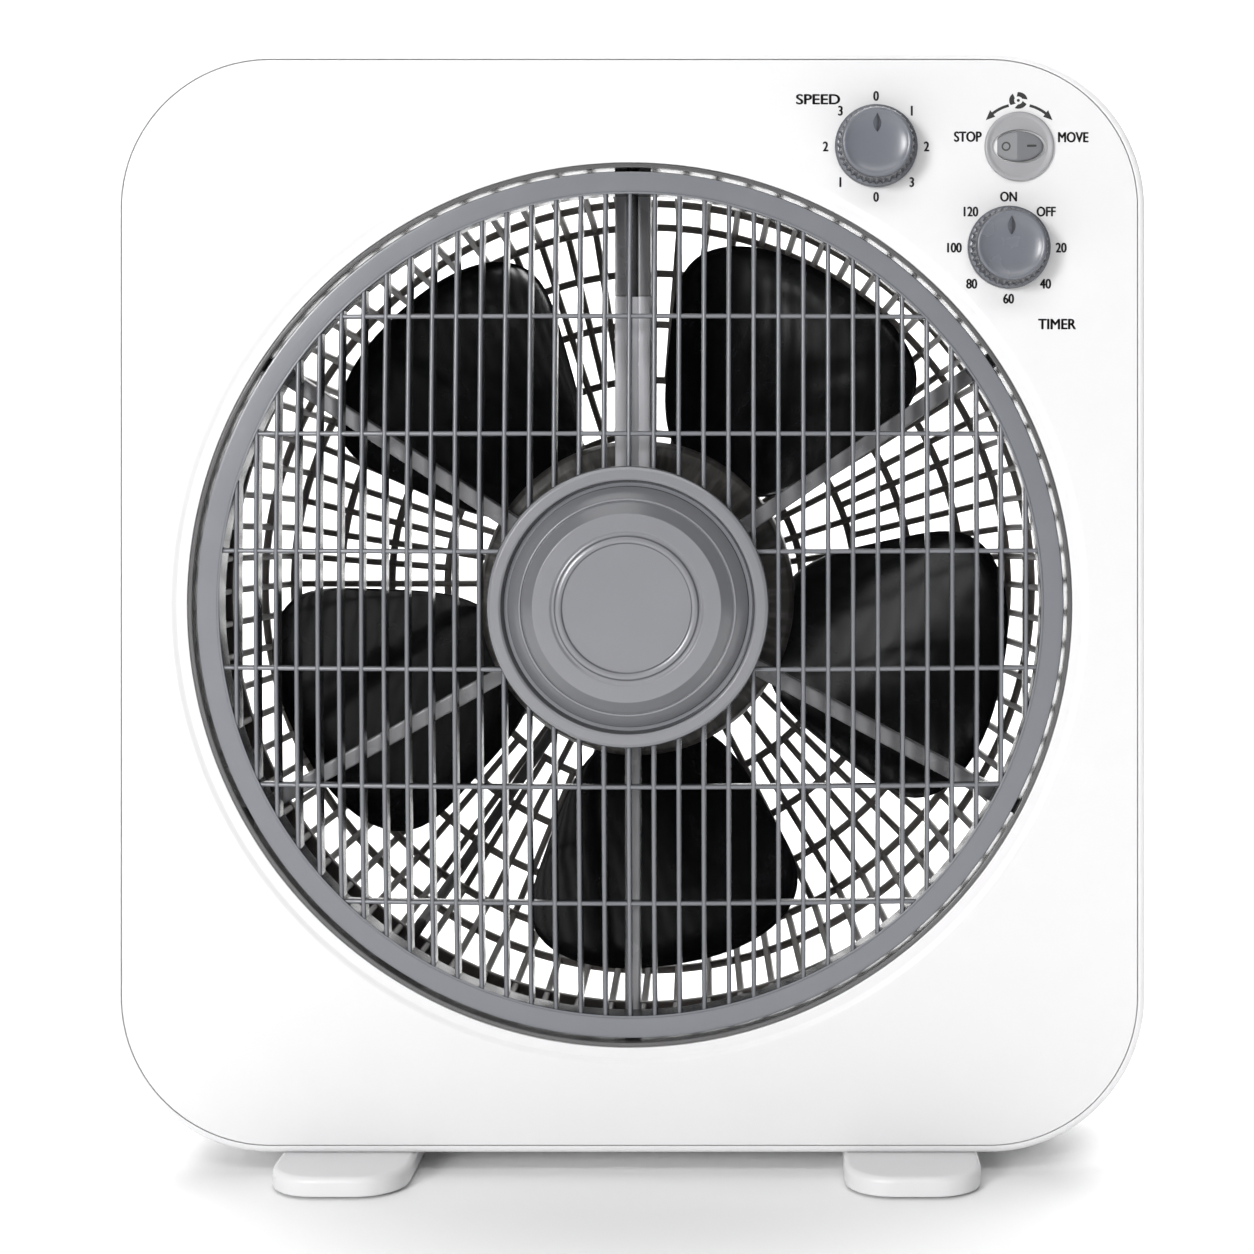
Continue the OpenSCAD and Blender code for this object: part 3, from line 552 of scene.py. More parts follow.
class Shape:
    """Gathers closed surfaces and turns them into one smooth piece that rides on a body."""

    def __init__(self) -> None:
        """Starts with no surface."""
        self.mesh = bmesh.new()

    def skin(self, loops: Sequence[Loop], joined: bool = False, caps: bool = True) -> "Shape":
        """Stretches a surface over loops of points; a loop of one point is a pole.

        Args:
            loops: The loops, in order.
            joined: Whether the last loop joins the first.
            caps: Whether the first and last loops are filled, when they aren't joined.

        Returns:
            The shape itself.
        """
        rows = [[self.mesh.verts.new(p) for p in loop] for loop in loops]
        pairs = list(zip(rows, rows[1:])) + ([(rows[-1], rows[0])] if joined else [])
        for a, b in pairs:
            for i in range(max(len(a), len(b)) if len(a) + len(b) > 2 else 0):
                corners = (a[i % len(a)], a[(i + 1) % len(a)], b[(i + 1) % len(b)], b[i % len(b)])
                self.mesh.faces.new(list(dict.fromkeys(corners)))
        if caps and not joined:
            for row in (rows[0], rows[-1]):
                if len(row) > 2:
                    self.mesh.faces.new(row)
        return self

    def turn(self, profile: Sequence[Flat], count: int = 180, centre: Flat = AXIS_PLACE) -> "Shape":
        """Turns a closed profile of (radius, y) points about a line along y.

        Args:
            profile: The profile's points.
            count: Number of segments round the line.
            centre: Where the line crosses the front view, as (x, z).

        Returns:
            The shape itself.
        """
        loops = []
        for radius, y in profile:
            ring = circle(radius, count, centre) if radius > 1e-9 else [centre]
            loops.append([Vector((x, y, z)) for x, z in ring])
        return self.skin(loops, joined=True)

    def stack(self, outlines: Sequence[tuple[Sequence[Flat], float]], joined: bool = False,
              caps: bool = True) -> "Shape":
        """Stretches a surface over front-view outlines, each at its own depth y."""
        return self.skin([[Vector((x, y, z)) for x, z in line] for line, y in outlines], joined, caps)

    def sweep(self, section: Sequence[Flat], path: Sequence[tuple[Vector, Vector, Vector]]) -> "Shape":
        """Carries a section along a path.

        Args:
            section: The section's points, as (across, up).
            path: The path's points, each with the directions of across and up there.

        Returns:
            The shape itself.
        """
        return self.skin([[at + across * u + up * v for u, v in section] for at, across, up in path])

    def plate(self, outline: Sequence[Flat], holes: Sequence[Sequence[Flat]], depth: float) -> "Shape":
        """Fills a flat outline with holes at one depth."""
        rings = [outline, *holes]
        corners = [self.mesh.verts.new((x, depth, z)) for ring in rings for x, z in ring]
        flat = [[Vector((x, z, 0)) for x, z in ring] for ring in rings]
        for triangle in tessellate_polygon(flat):
            self.mesh.faces.new([corners[i] for i in triangle])
        return self

    def piece(self, name: str, paint: bpy.types.Material, body: str, slot: Slot | None = None,
              nodes: Sequence[str] = (), crease: float = 40.0) -> bpy.types.Object:
        """Closes the shape into an object.

        Args:
            name: The piece's name.
            paint: Its material.
            body: The body that it rides on.
            slot: The record's material slot that it stands for.
            nodes: The CAD nodes that it replaces.
            crease: The angle above which an edge stays sharp, in degrees.

        Returns:
            The new object.
        """
        bmesh.ops.remove_doubles(self.mesh, verts=self.mesh.verts, dist=1e-7)
        bmesh.ops.recalc_face_normals(self.mesh, faces=self.mesh.faces)
        data = bpy.data.meshes.new(name)
        self.mesh.to_mesh(data)
        self.mesh.free()
        for polygon in data.polygons:
            polygon.use_smooth = True
        data.set_sharp_from_angle(angle=math.radians(crease))
        data.materials.append(paint)
        return settle(bpy.data.objects.new(name, data), body, slot, nodes)


def settle(made: bpy.types.Object, body: str, slot: Slot | None = None,
           nodes: Sequence[str] = ()) -> bpy.types.Object:
    """Puts a finished object in the scene, on its body.

    Args:
        made: The object.
        body: The body that it rides on.
        slot: The record's material slot that it stands for; not used.
        nodes: The CAD nodes that it replaces.

    Returns:
        The object.
    """
    bpy.context.scene.collection.objects.link(made)
    even = made.modifiers.new("even_shading", "WEIGHTED_NORMAL")
    even.keep_sharp = True
    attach(made, body)
    if nodes:
        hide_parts(*nodes)
    LOG.info("%s rides on %s: %d faces", made.name, body, len(made.data.polygons))
    return made


def radial_frame(angle: float) -> tuple[Vector, Vector]:
    """The outward and sideways directions at an angle about the fan's axis, in degrees."""
    c, s = math.cos(math.radians(angle)), math.sin(math.radians(angle))
    return Vector((c, 0, s)), Vector((-s, 0, c))


def on_axis(outward: Vector, radius: float, y: float) -> Vector:
    """The point at a radius and a depth in one direction from the fan's axis."""
    return Vector((AXIS.x, y, AXIS.z)) + outward * radius


UP = Vector((0, 0, 1))
RIGHT = Vector((1, 0, 0))
BACK = Vector((0, 1, 0))


# ------------------------------------------------------------------ housing


@dataclass
class Housing:
    """The white front panel and the white shell behind it, with its rounded rim, sides and back wall."""

    paints: Paints
    corner: float = 56 * MM
    rim: float = 2.9 * MM
    wall: float = 2.65 * MM
    front_round: float = 2.1 * MM
    rear_round: float = 10 * MM
    step_r: float = 164.7 * MM
    step_depth: float = 0.9 * MM
    opening_r: float = 158.8 * MM
    vent_r: float = 165.6 * MM
    grip_half_w: float = 58 * MM
    grip_half_h: float = 7.5 * MM
    grip_below_top: float = 14 * MM
    grip_depth: float = 22 * MM
    boss_length: float = 70 * MM
    count: int = 480

    def __post_init__(self) -> None:
        """Reads the housing's place from the frame."""
        low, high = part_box("rear_housing")
        self.face_y, self.back_y = low.y, high.y
        self.panel_y = self.face_y + 2.5 * MM
        self.half_w, self.half_h = (high.x - low.x) / 2, (high.z - low.z) / 2
        self.middle: Flat = ((high.x + low.x) / 2, (high.z + low.z) / 2)

    def outline(self, inset: float) -> list[Flat]:
        """The housing's outline, drawn in by an inset."""
        radius = self.corner - inset
        return round_box(self.half_w - inset, self.half_h - inset, radius, self.count, self.middle)

    def rings(self, *steps: Flat) -> list[tuple[list[Flat], float]]:
        """Circles of (radius, y) about the fan's axis, drawn for a loft with the housing's outline."""
        made = []
        for radius, y in steps:
            made.append((self._facing(radius), y))
        return made

    def _facing(self, radius: float) -> list[Flat]:
        """A circle about the axis whose points lie in the outline's own directions."""
        drop = AXIS.z - self.middle[1]
        points = []
        for i in range(self.count):
            c, s = math.cos(FULL_TURN * i / self.count), math.sin(FULL_TURN * i / self.count)
            reach = s * drop + math.sqrt(radius * radius - (c * drop) ** 2)
            points.append((self.middle[0] + reach * c, self.middle[1] + reach * s))
        return points

    def build_panel(self) -> None:
        """The front panel: a flat face, a shallow step and the round opening, with ribs and bosses behind."""
        y, back = self.face_y, self.panel_y
        edge = [(self.outline(self.rim), back), (self.outline(self.rim), y + 0.35 * MM),
                (self.outline(self.rim + 0.12 * MM), y + 0.1 * MM), (self.outline(self.rim + 0.4 * MM), y)]
        step, hole = self.step_r, self.opening_r
        depth = self.step_depth
        opening = self.rings((step, y), (step - 0.5 * MM, y + 0.06 * MM), (step - 1.2 * MM, y + 0.4 * MM),
                             (step - 1.9 * MM, y + depth - 0.06 * MM), (step - 2.4 * MM, y + depth),
                             (hole + 0.7 * MM, y + depth), (hole + 0.2 * MM, y + depth + 0.2 * MM),
                             (hole, y + depth + 0.7 * MM), (hole, back))
        shape = Shape().stack(edge + opening, joined=True)
        ribs = [(self.outline(4.4 * MM), back), (self.outline(4.4 * MM), back + 9 * MM),
                (self.outline(6.4 * MM), back + 9 * MM), (self.outline(6.4 * MM), back)]
        shape.stack(ribs, joined=True)
        low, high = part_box("housing_screws")
        for x in (low.x, high.x):
            inner = x + (3.4 if x < 0 else -3.4) * MM
            end = back + self.boss_length
            boss = softened([(1.5 * MM, back), (4 * MM, back), (4 * MM, end), (1.5 * MM, end)], 0.4 * MM)
            shape.turn(boss, 32, (inner, high.z - 3.4 * MM))
        shape.piece("front_panel_shell", self.paints["white_shell"], "housing", Slot.SHELL, ["front_panel"])

    def build_shell(self) -> None:
        """The shell: one wall swept round the sides, and a back wall with its vent and grip pocket."""
        face, back, wall, rear = self.face_y, self.back_y, self.wall, self.rear_round
        inside = quarter((rear, back - rear), rear - wall, 90, 180)
        front = [(wall, face + 0.3 * MM), (wall - 0.1 * MM, face + 0.06 * MM), (wall - 0.3 * MM, face)]
        nose = quarter((self.front_round, face + self.front_round), self.front_round, 270, 180)
        outside = quarter((rear, back - rear), rear, 180, 90)
        shape = Shape().stack([(self.outline(i), y) for i, y in inside + front + nose + outside], caps=False)
        vent = circle(self.vent_r, 240, AXIS_PLACE)
        grip_place = (self.middle[0], self.middle[1] + self.half_h - self.grip_below_top)

        def grip(grow: float) -> list[Flat]:
            """The grip pocket's outline, grown by some distance."""
            half_h = self.grip_half_h + grow
            return round_box(self.grip_half_w + grow, half_h, half_h, 240, grip_place)

        lip = 0.8 * MM
        shape.plate(self.outline(rear), [vent, grip(lip)], back)
        shape.plate(self.outline(rear), [vent, grip(2 * MM)], back - wall)
        shape.stack([(vent, back), (vent, back - wall)], caps=False)
        mouth = [(grip(lip - i), y) for i, y in quarter((0, back - lip), lip, 90, 0, 4)]
        pocket = self.grip_depth
        floor = [(grip(0), back - pocket + 2 * MM), (grip(-0.6 * MM), back - pocket + 0.5 * MM),
                 (grip(-2 * MM), back - pocket)]
        self._cap_last(shape, mouth + floor)
        outer = [(grip(2 * MM), back - wall), (grip(2 * MM), back - pocket - 1 * MM),
                 (grip(1 * MM), back - pocket - 2 * MM)]
        self._cap_last(shape, outer)
        shape.piece("rear_housing_shell", self.paints["white_shell"], "housing", Slot.SHELL, ["rear_housing"])

    @staticmethod
    def _cap_last(shape: Shape, outlines: Sequence[tuple[Sequence[Flat], float]]) -> None:
        """Adds outlines to a shape and closes only the last of them."""
        shape.stack(outlines, caps=False)
        line, y = outlines[-1]
        shape.plate(line, [], y)


# ------------------------------------------------------------------ louvre wheel


@dataclass
class Louvre:
    """The grey wheel of upright bars, domed to the front, and the turned cap in its middle."""

    paints: Paints
    outer_r: float = 156 * MM
    inner_r: float = 147.8 * MM
    depth: float = 10 * MM
    dome: float = 9 * MM
    pitch: float = 8.9 * MM
    closing_from: int = 6
    closing: float = 0.08 * MM
    left_bars: int = 17
    right_bars: int = 16
    bar_w: float = 1.75 * MM
    bar_depth: float = 8 * MM
    cross_pitch: float = 42.1 * MM
    cross_shift: float = -1.6 * MM
    cross_back: float = 0.35 * MM
    cross_depth: float = 5 * MM
    hub_r: float = 46 * MM

    def __post_init__(self) -> None:
        """Reads the wheel's and the cap's depths from the frame."""
        self.cap_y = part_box("louvre_cap")[0].y
        self.cap_r = (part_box("louvre_cap")[1].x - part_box("louvre_cap")[0].x) / 2
        self.rear_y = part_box("channel_cover")[0].y - 3.9 * MM
        self.face_y = self.rear_y - self.depth
        self.sphere_r = (self.inner_r ** 2 + self.dome ** 2) / (2 * self.dome)

    def rise(self, x: float, z: float) -> float:
        """How far the dome stands in front of its edge at a place measured from the axis."""
        return math.sqrt(self.sphere_r ** 2 - x * x - z * z) - (self.sphere_r - self.dome)

    def nose_section(self, depth: float) -> list[Flat]:
        """A bar's section: a round nose at the front and small rounds at the back."""
        half = self.bar_w / 2
        nose = quarter((0, half), half, 180, 360, 8)
        tail = [(half * 0.8, depth - 0.25 * MM), (half * 0.6, depth), (-half * 0.6, depth),
                (-half * 0.8, depth - 0.25 * MM)]
        return nose + tail

    def add_bar(self, shape: Shape, offset: float, back: float, depth: float, along: Vector,
                across: Vector) -> None:
        """Adds one bar that follows the dome and ends in a round tip on the rim's inner lip.

        Args:
            shape: The shape that the bar joins.
            offset: The bar's distance from the wheel's middle.
            back: How far it is set back behind the dome.
            depth: Its depth along y.
            along: The direction that it runs in.
            across: The direction of its offset.
        """
        reach = math.sqrt((self.inner_r + 0.9 * MM) ** 2 - offset * offset)
        section = self.nose_section(depth)
        half, tip = self.bar_w / 2, 5
        steps = 26
        loops = []
        stops = [-reach + half * (1 - math.cos(math.pi / 2 * k / tip)) for k in range(tip)]
        stops += [-(reach - half) + 2 * (reach - half) * k / steps for k in range(1, steps)]
        stops += [-s for s in reversed(stops[:tip])]
        for s in stops:
            left = min(1.0, max(0.0, (reach - abs(s)) / half))
            slim = math.sqrt(max(0.02, 1 - (1 - left) ** 2))
            front = self.face_y + 0.25 * MM - self.rise(offset, s) + back + half * (1 - slim)
            at = Vector((AXIS.x, front, AXIS.z)) + across * offset + along * s
            loops.append([at + across * (u * slim) + BACK * v for u, v in section])
        shape.skin(loops)

    def build_wheel(self) -> None:
        """The wheel: rim, upright bars, cross bars, small knots where they cross, and the hub."""
        shape = Shape()
        r, y = self.inner_r, self.face_y
        rim = [(r, y + 0.9 * MM), (r + 0.1 * MM, y - 0.1 * MM), (r + 0.45 * MM, y - 0.22 * MM),
               (r + 0.85 * MM, y - 0.1 * MM), (r + 1.0 * MM, y + 0.12 * MM), (self.outer_r - 0.9 * MM, y),
               (self.outer_r - 0.25 * MM, y + 0.2 * MM), (self.outer_r, y + 0.9 * MM),
               (self.outer_r, self.rear_y), (r + 0.3 * MM, self.rear_y), (r, self.rear_y - 0.3 * MM)]
        shape.turn(rim, 288)
        crosses = [self.cross_pitch * (k - 2.5) + self.cross_shift for k in range(6)]
        uprights = []
        for i in range(-self.left_bars, self.right_bars + 1):
            past = max(0, -i - self.closing_from)
            uprights.append(self.pitch * i + self.closing * past * past)
        for x in uprights:
            self.add_bar(shape, x, 0.0, self.bar_depth, UP, RIGHT)
        for z in crosses:
            self.add_bar(shape, z, self.cross_back, self.cross_depth, RIGHT, UP)
        for x in uprights:
            for z in crosses:
                if self.cap_r < math.hypot(x, z) < self.inner_r - 2 * MM:
                    self._add_knot(shape, x, z)
        hub = self.hub_r
        front = self.face_y - self.dome - 0.38 * MM
        plate_back, boss_back = front + 10.5 * MM, front + 13.5 * MM
        disc = [(0, front), (hub, front), (hub, front + 3 * MM), (hub - 2 * MM, plate_back),
                (12 * MM, plate_back), (8 * MM, boss_back), (0, boss_back)]
        shape.turn(softened(disc, 0.5 * MM), 120)
        shape.piece("louvre_wheel", self.paints["grey_trim"], "louvre_wheel", Slot.TRIM, ["louvre_grille"])

    def _add_knot(self, shape: Shape, x: float, z: float) -> None:
        """Adds the little four-sided fillet where two bars cross."""
        reach = self.bar_w * 1.05
        front = self.face_y + 0.25 * MM - self.rise(x, z) + self.cross_back
        place = (AXIS.x + x, AXIS.z + z)
        star = [(reach if i % 2 == 0 else reach * 0.42) for i in range(8)]

        def ring(scale: float) -> list[Flat]:
            """The star's outline at one scale."""
            return [(place[0] + star[i] * scale * math.cos(math.pi / 4 * i),
                     place[1] + star[i] * scale * math.sin(math.pi / 4 * i)) for i in range(8)]

        shape.stack([(ring(0.2), front - 0.02 * MM), (ring(0.8), front + 0.2 * MM),
                     (ring(1.0), front + 0.9 * MM), (ring(1.0), front + 3 * MM)])

    def build_cap(self) -> None:
        """The cap: a flange, a groove, a swelling shoulder, a flat ring, a bead and a plain middle disc."""
        r, y = self.cap_r, self.cap_y
        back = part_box("louvre_cap")[1].y - 2.5 * MM
        shoulder = [(r * 0.664, y + 1.0 * MM), (r * 0.67, y + 1.25 * MM), (r * 0.752, y + 5.0 * MM),
                    (r * 0.756, y + 4.5 * MM), (r * 0.768, y + 4.5 * MM), (r * 0.775, y + 4.9 * MM),
                    (r * 0.853, y + 8.4 * MM), (r * 0.862, y + 10.4 * MM)]
        front = [(0, y + 0.95 * MM), (r * 0.452, y + 0.95 * MM), (r * 0.462, y + 0.2 * MM), (r * 0.48, y),
                 (r * 0.5, y + 0.25 * MM), (r * 0.512, y + 1.15 * MM), (r * 0.527, y + 1.35 * MM),
                 (r * 0.545, y + 0.9 * MM)]
        flange = [(r * 0.875, y + 10.4 * MM), (r * 0.89, y + 7.4 * MM), (r * 0.9, y + 6.2 * MM),
                  (r * 0.915, y + 5.8 * MM), (r * 0.972, y + 5.85 * MM), (r * 0.993, y + 6.3 * MM),
                  (r, y + 7.1 * MM), (r, back)]
        web, collar = y + 3.6 * MM, back + 2.5 * MM
        rear = [(r * 0.9, back), (r * 0.9, back + 0.7 * MM), (r * 0.8, back + 0.7 * MM), (r * 0.62, web),
                (7.8 * MM, web), (7.8 * MM, collar), (6.2 * MM, collar), (6.2 * MM, web), (0, web)]
        profile = softened(front + shoulder + flange + rear, 0.2 * MM, 3)
        shape = Shape().turn(profile, 240)
        shape.piece("louvre_centre_cap", self.paints["cap_grey"], "louvre_wheel", Slot.CAP, ["louvre_cap"],
                    crease=55.0)


# ------------------------------------------------------------------ spider


@dataclass
class Spider:
    """The fixed support behind the wheel: a rim, five spokes, a wiring channel and a hub cup."""

    paints: Paints
    rim_in: float = 157.2 * MM
    rim_out: float = 158.6 * MM
    flange_out: float = 167.1 * MM
    hub_r: float = 31 * MM
    spoke_w: float = 5.7 * MM
    spoke_angles: tuple[float, ...] = (34, 147, 209, 270, 332)
    channel_w: float = 13 * MM
    channel_wall: float = 4.6 * MM
    rail_offset: float = 4.2 * MM
    bands: tuple[float, ...] = (63 * MM, 87 * MM, 96 * MM)
    clip_from: float = 112 * MM

    def __post_init__(self) -> None:
        """Reads the spider's depths from the frame."""
        low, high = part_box("louvre_spider")
        self.front_y, self.back_y = low.y, high.y
        self.spoke_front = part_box("channel_cover")[0].y - 0.4 * MM
        self.spoke_back = self.spoke_front + 9 * MM

    def add_spoke(self, shape: Shape, angle: float, width: float, start: float, side: float = 0.0,
                  front: float | None = None, back: float | None = None, end: float | None = None) -> None:
        """Adds a straight bar that runs outwards from the hub.

        Args:
            shape: The shape that the bar joins.
            angle: Its direction, in degrees.
            width: Its width.
            start: The radius where it starts.
            side: Its distance beside the true radius.
            front: Depth of its front face.
            back: Depth of its back face.
            end: The radius where it ends.
        """
        front = self.spoke_front if front is None else front
        back = self.spoke_back if back is None else back
        end = self.rim_in + 0.3 * MM if end is None else end
        outward, sideways = radial_frame(angle)
        half = width / 2
        section = strip(half, back - front, 0.9 * MM)
        stops = [start + (end - start) * k / 12 for k in range(13)]
        path = [(on_axis(outward, s, front) + sideways * side, sideways, BACK) for s in stops]
        shape.sweep(section, path)

    def build(self) -> None:
        """The support in dark grey, its rim darker still as painted shade, and the channel's two lighter
        walls with their bands.
        """
        y = self.front_y
        flange_y = self.front_y + 1.6 * MM
        rim = softened([(self.rim_in, y), (self.rim_out, y), (self.rim_out, flange_y),
                        (self.flange_out, flange_y), (self.flange_out, flange_y + 2.3 * MM),
                        (self.rim_out, flange_y + 2.3 * MM), (self.rim_out, self.back_y),
                        (self.rim_in, self.back_y)], 0.3 * MM)
        # The rim is painted darker than the rest of the spider: painted shade in the gap round the wheel.
        Shape().turn(rim, 288).piece("louvre_support_rim", self.paints["rim_painted_shade"], "housing")
        shape = Shape()
        for angle in self.spoke_angles:
            self.add_spoke(shape, angle, self.spoke_w, self.hub_r - 1.5 * MM)
        hub = self.hub_r
        cup = [(0, self.spoke_back - 2 * MM), (hub - 2 * MM, self.spoke_back - 2 * MM),
               (hub - 2 * MM, self.spoke_front - 5 * MM), (hub, self.spoke_front - 5 * MM),
               (hub, self.spoke_back), (0, self.spoke_back)]
        shape.turn(softened(cup, 0.5 * MM), 120)
        self.add_spoke(shape, 90, self.channel_w - 1 * MM, hub - 1.5 * MM, 0.0, self.spoke_back - 2.4 * MM)
        for side in (-1, 1):
            self.add_spoke(shape, 90, self.channel_wall, self.clip_from, side * self.rail_offset)
        shape.piece("louvre_support", self.paints["spider_grey"], "housing", Slot.TRIM, ["louvre_spider"])
        self.build_channel()

    def build_channel(self) -> None:
        """The channel's clip-on cover: two round-backed rails with thin bands across them."""
        shape = Shape()
        lift = self.spoke_front + 0.1 * MM
        for side in (-1, 1):
            self.add_spoke(shape, 90, self.channel_wall, self.hub_r + 1 * MM, side * self.rail_offset, lift,
                           self.spoke_back - 2.6 * MM, self.clip_from - 0.3 * MM)
            for band in self.bands:
                self.add_spoke(shape, 90, self.channel_wall + 0.5 * MM, band - 0.5 * MM,
                               side * self.rail_offset, lift - 0.25 * MM, lift + 4 * MM, band + 0.5 * MM)
        self.add_spoke(shape, 90, self.channel_wall, self.hub_r + 1 * MM, 0.0, lift + 2.4 * MM,
                       self.spoke_back - 2.6 * MM, self.clip_from - 0.3 * MM)
        shape.piece("wiring_channel_cover", self.paints["channel_grey"], "housing", Slot.CAP,
                    ["channel_cover"])


# ------------------------------------------------------------------ blades


@dataclass
class Rotor:
    """The glossy black blades, their flat hub, and the nut that holds them on the shaft."""

    paints: Paints
    tip_r: float = 142 * MM
    hub_r: float = 59 * MM
    span: float = 50.0
    first_angle: float = 59.0
    blades: int = 5
    depth: float = 40 * MM
    twist: float = 60.0
    thickness: float = 2.6 * MM
    around: int = 96
    inward: int = 14

    def __post_init__(self) -> None:
        """Reads the hub's and the blades' depths from the frame."""
        self.front_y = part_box("fan_blade")[0].y
        self.middle_y = self.front_y + 3 * MM + self.depth / 2

    @staticmethod
    def bulge(value: float, power: float) -> float:
        """A signed power, which squares off a circle's corners."""
        return math.copysign(abs(value) ** power, value)

    def blade_point(self, t: float, share: float, angle: float, side: int) -> Vector:
        """A point on one face of a blade.

        Args:
            t: The direction from the blade's middle, from 0 to a full turn.
            share: 0 at the blade's middle and 1 at its edge.
            angle: The blade's own angle.
            side: -1 for the front face and 1 for the back face.

        Returns:
            The point.
        """
        inner = self.hub_r - 6 * MM
        mid, half = (inner + self.tip_r) / 2, (self.tip_r - inner) / 2
        radius = mid + share * half * self.bulge(math.cos(t), 0.5)
        turned = share * self.span / 2 * self.bulge(math.sin(t), 0.62)
        outward, _ = radial_frame(angle + turned)
        camber = 2.2 * MM * (1 - (turned / (self.span / 2)) ** 2)
        y = self.middle_y + self.depth * turned / self.twist - camber * (radius / self.tip_r)
        edge = math.sqrt(max(0.0, 1 - share ** 7))
        return on_axis(outward, radius, y + side * self.thickness / 2 * edge)

    def build_blades(self) -> None:
        """The blades, each a smooth shell with a round edge."""
        shape = Shape()
        shares = [1 - (1 - k / self.inward) ** 1.8 for k in range(self.inward + 1)]
        turns = [FULL_TURN * i / self.around for i in range(self.around)]
        for k in range(self.blades):
            angle = self.first_angle - 360 / self.blades * k
            loops = [[self.blade_point(t, s, angle, -1) for t in turns] for s in shares[1:]]
            loops += [[self.blade_point(t, s, angle, 1) for t in turns] for s in reversed(shares[1:-1])]
            poles = [[self.blade_point(0.0, 0.0, angle, side)] for side in (-1, 1)]
            shape.skin([poles[0], *loops, poles[1]])
        shape.piece("blade_set", self.paints["blade_black"], "fan_rotor", Slot.BLADE, crease=70.0)

    def build_hub(self) -> None:
        """The hub: a deep cup with a flat front, ribs inside and a boss on the shaft."""
        r, y = self.hub_r, self.front_y
        back, boss_back = y + 30 * MM, y + 26 * MM
        wall = 2.4 * MM
        cup = [(0, y), (r - 5 * MM, y), (r - 1.6 * MM, y + 0.9 * MM), (r, y + 4 * MM), (r, back),
               (r - wall, back), (r - wall, y + 4 * MM), (r - 5 * MM, y + 2.6 * MM),
               (9 * MM, y + 2.6 * MM), (9 * MM, boss_back), (4 * MM, boss_back), (4 * MM, y + 1 * MM),
               (0, y + 1 * MM)]
        shape = Shape().turn(softened(cup, 0.8 * MM, 4), 200)
        section = strip(0.8 * MM, 16 * MM, 0.4 * MM)
        for k in range(10):
            outward, sideways = radial_frame(36 * k)
            path = [(on_axis(outward, s * MM, y + 2.4 * MM), sideways, BACK) for s in (8.6, 25.0, 41.0, 57.0)]
            shape.sweep(section, path)
        # The hub's finish is the blades' black painted lighter, as a painted reflection.
        shape.piece("blade_hub", self.paints["hub_painted_reflection"], "fan_rotor", Slot.BLADE, ["fan_blade"])

    def build_nut(self) -> None:
        """The nut: a domed cap with six finger ribs."""
        low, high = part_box("blade_nut")
        body = [(0, low.y), (7 * MM, low.y), (9.5 * MM, low.y + 3.1 * MM), (9.5 * MM, high.y), (0, high.y)]
        shape = Shape().turn(softened(body, 1.2 * MM, 4), 72)
        rib_h = 4.9 * MM
        section = strip(1.4 * MM, rib_h, 0.5 * MM)
        for k in range(6):
            outward, sideways = radial_frame(60 * k)
            path = [(on_axis(outward, s * MM, high.y - rib_h), sideways, BACK) for s in (8.5, 10.0, 11.6)]
            shape.sweep(section, path)
        shape.piece("blade_hand_nut", self.paints["black_plastic"], "fan_rotor", Slot.BLACK, ["blade_nut"])


# ------------------------------------------------------------------ rear net


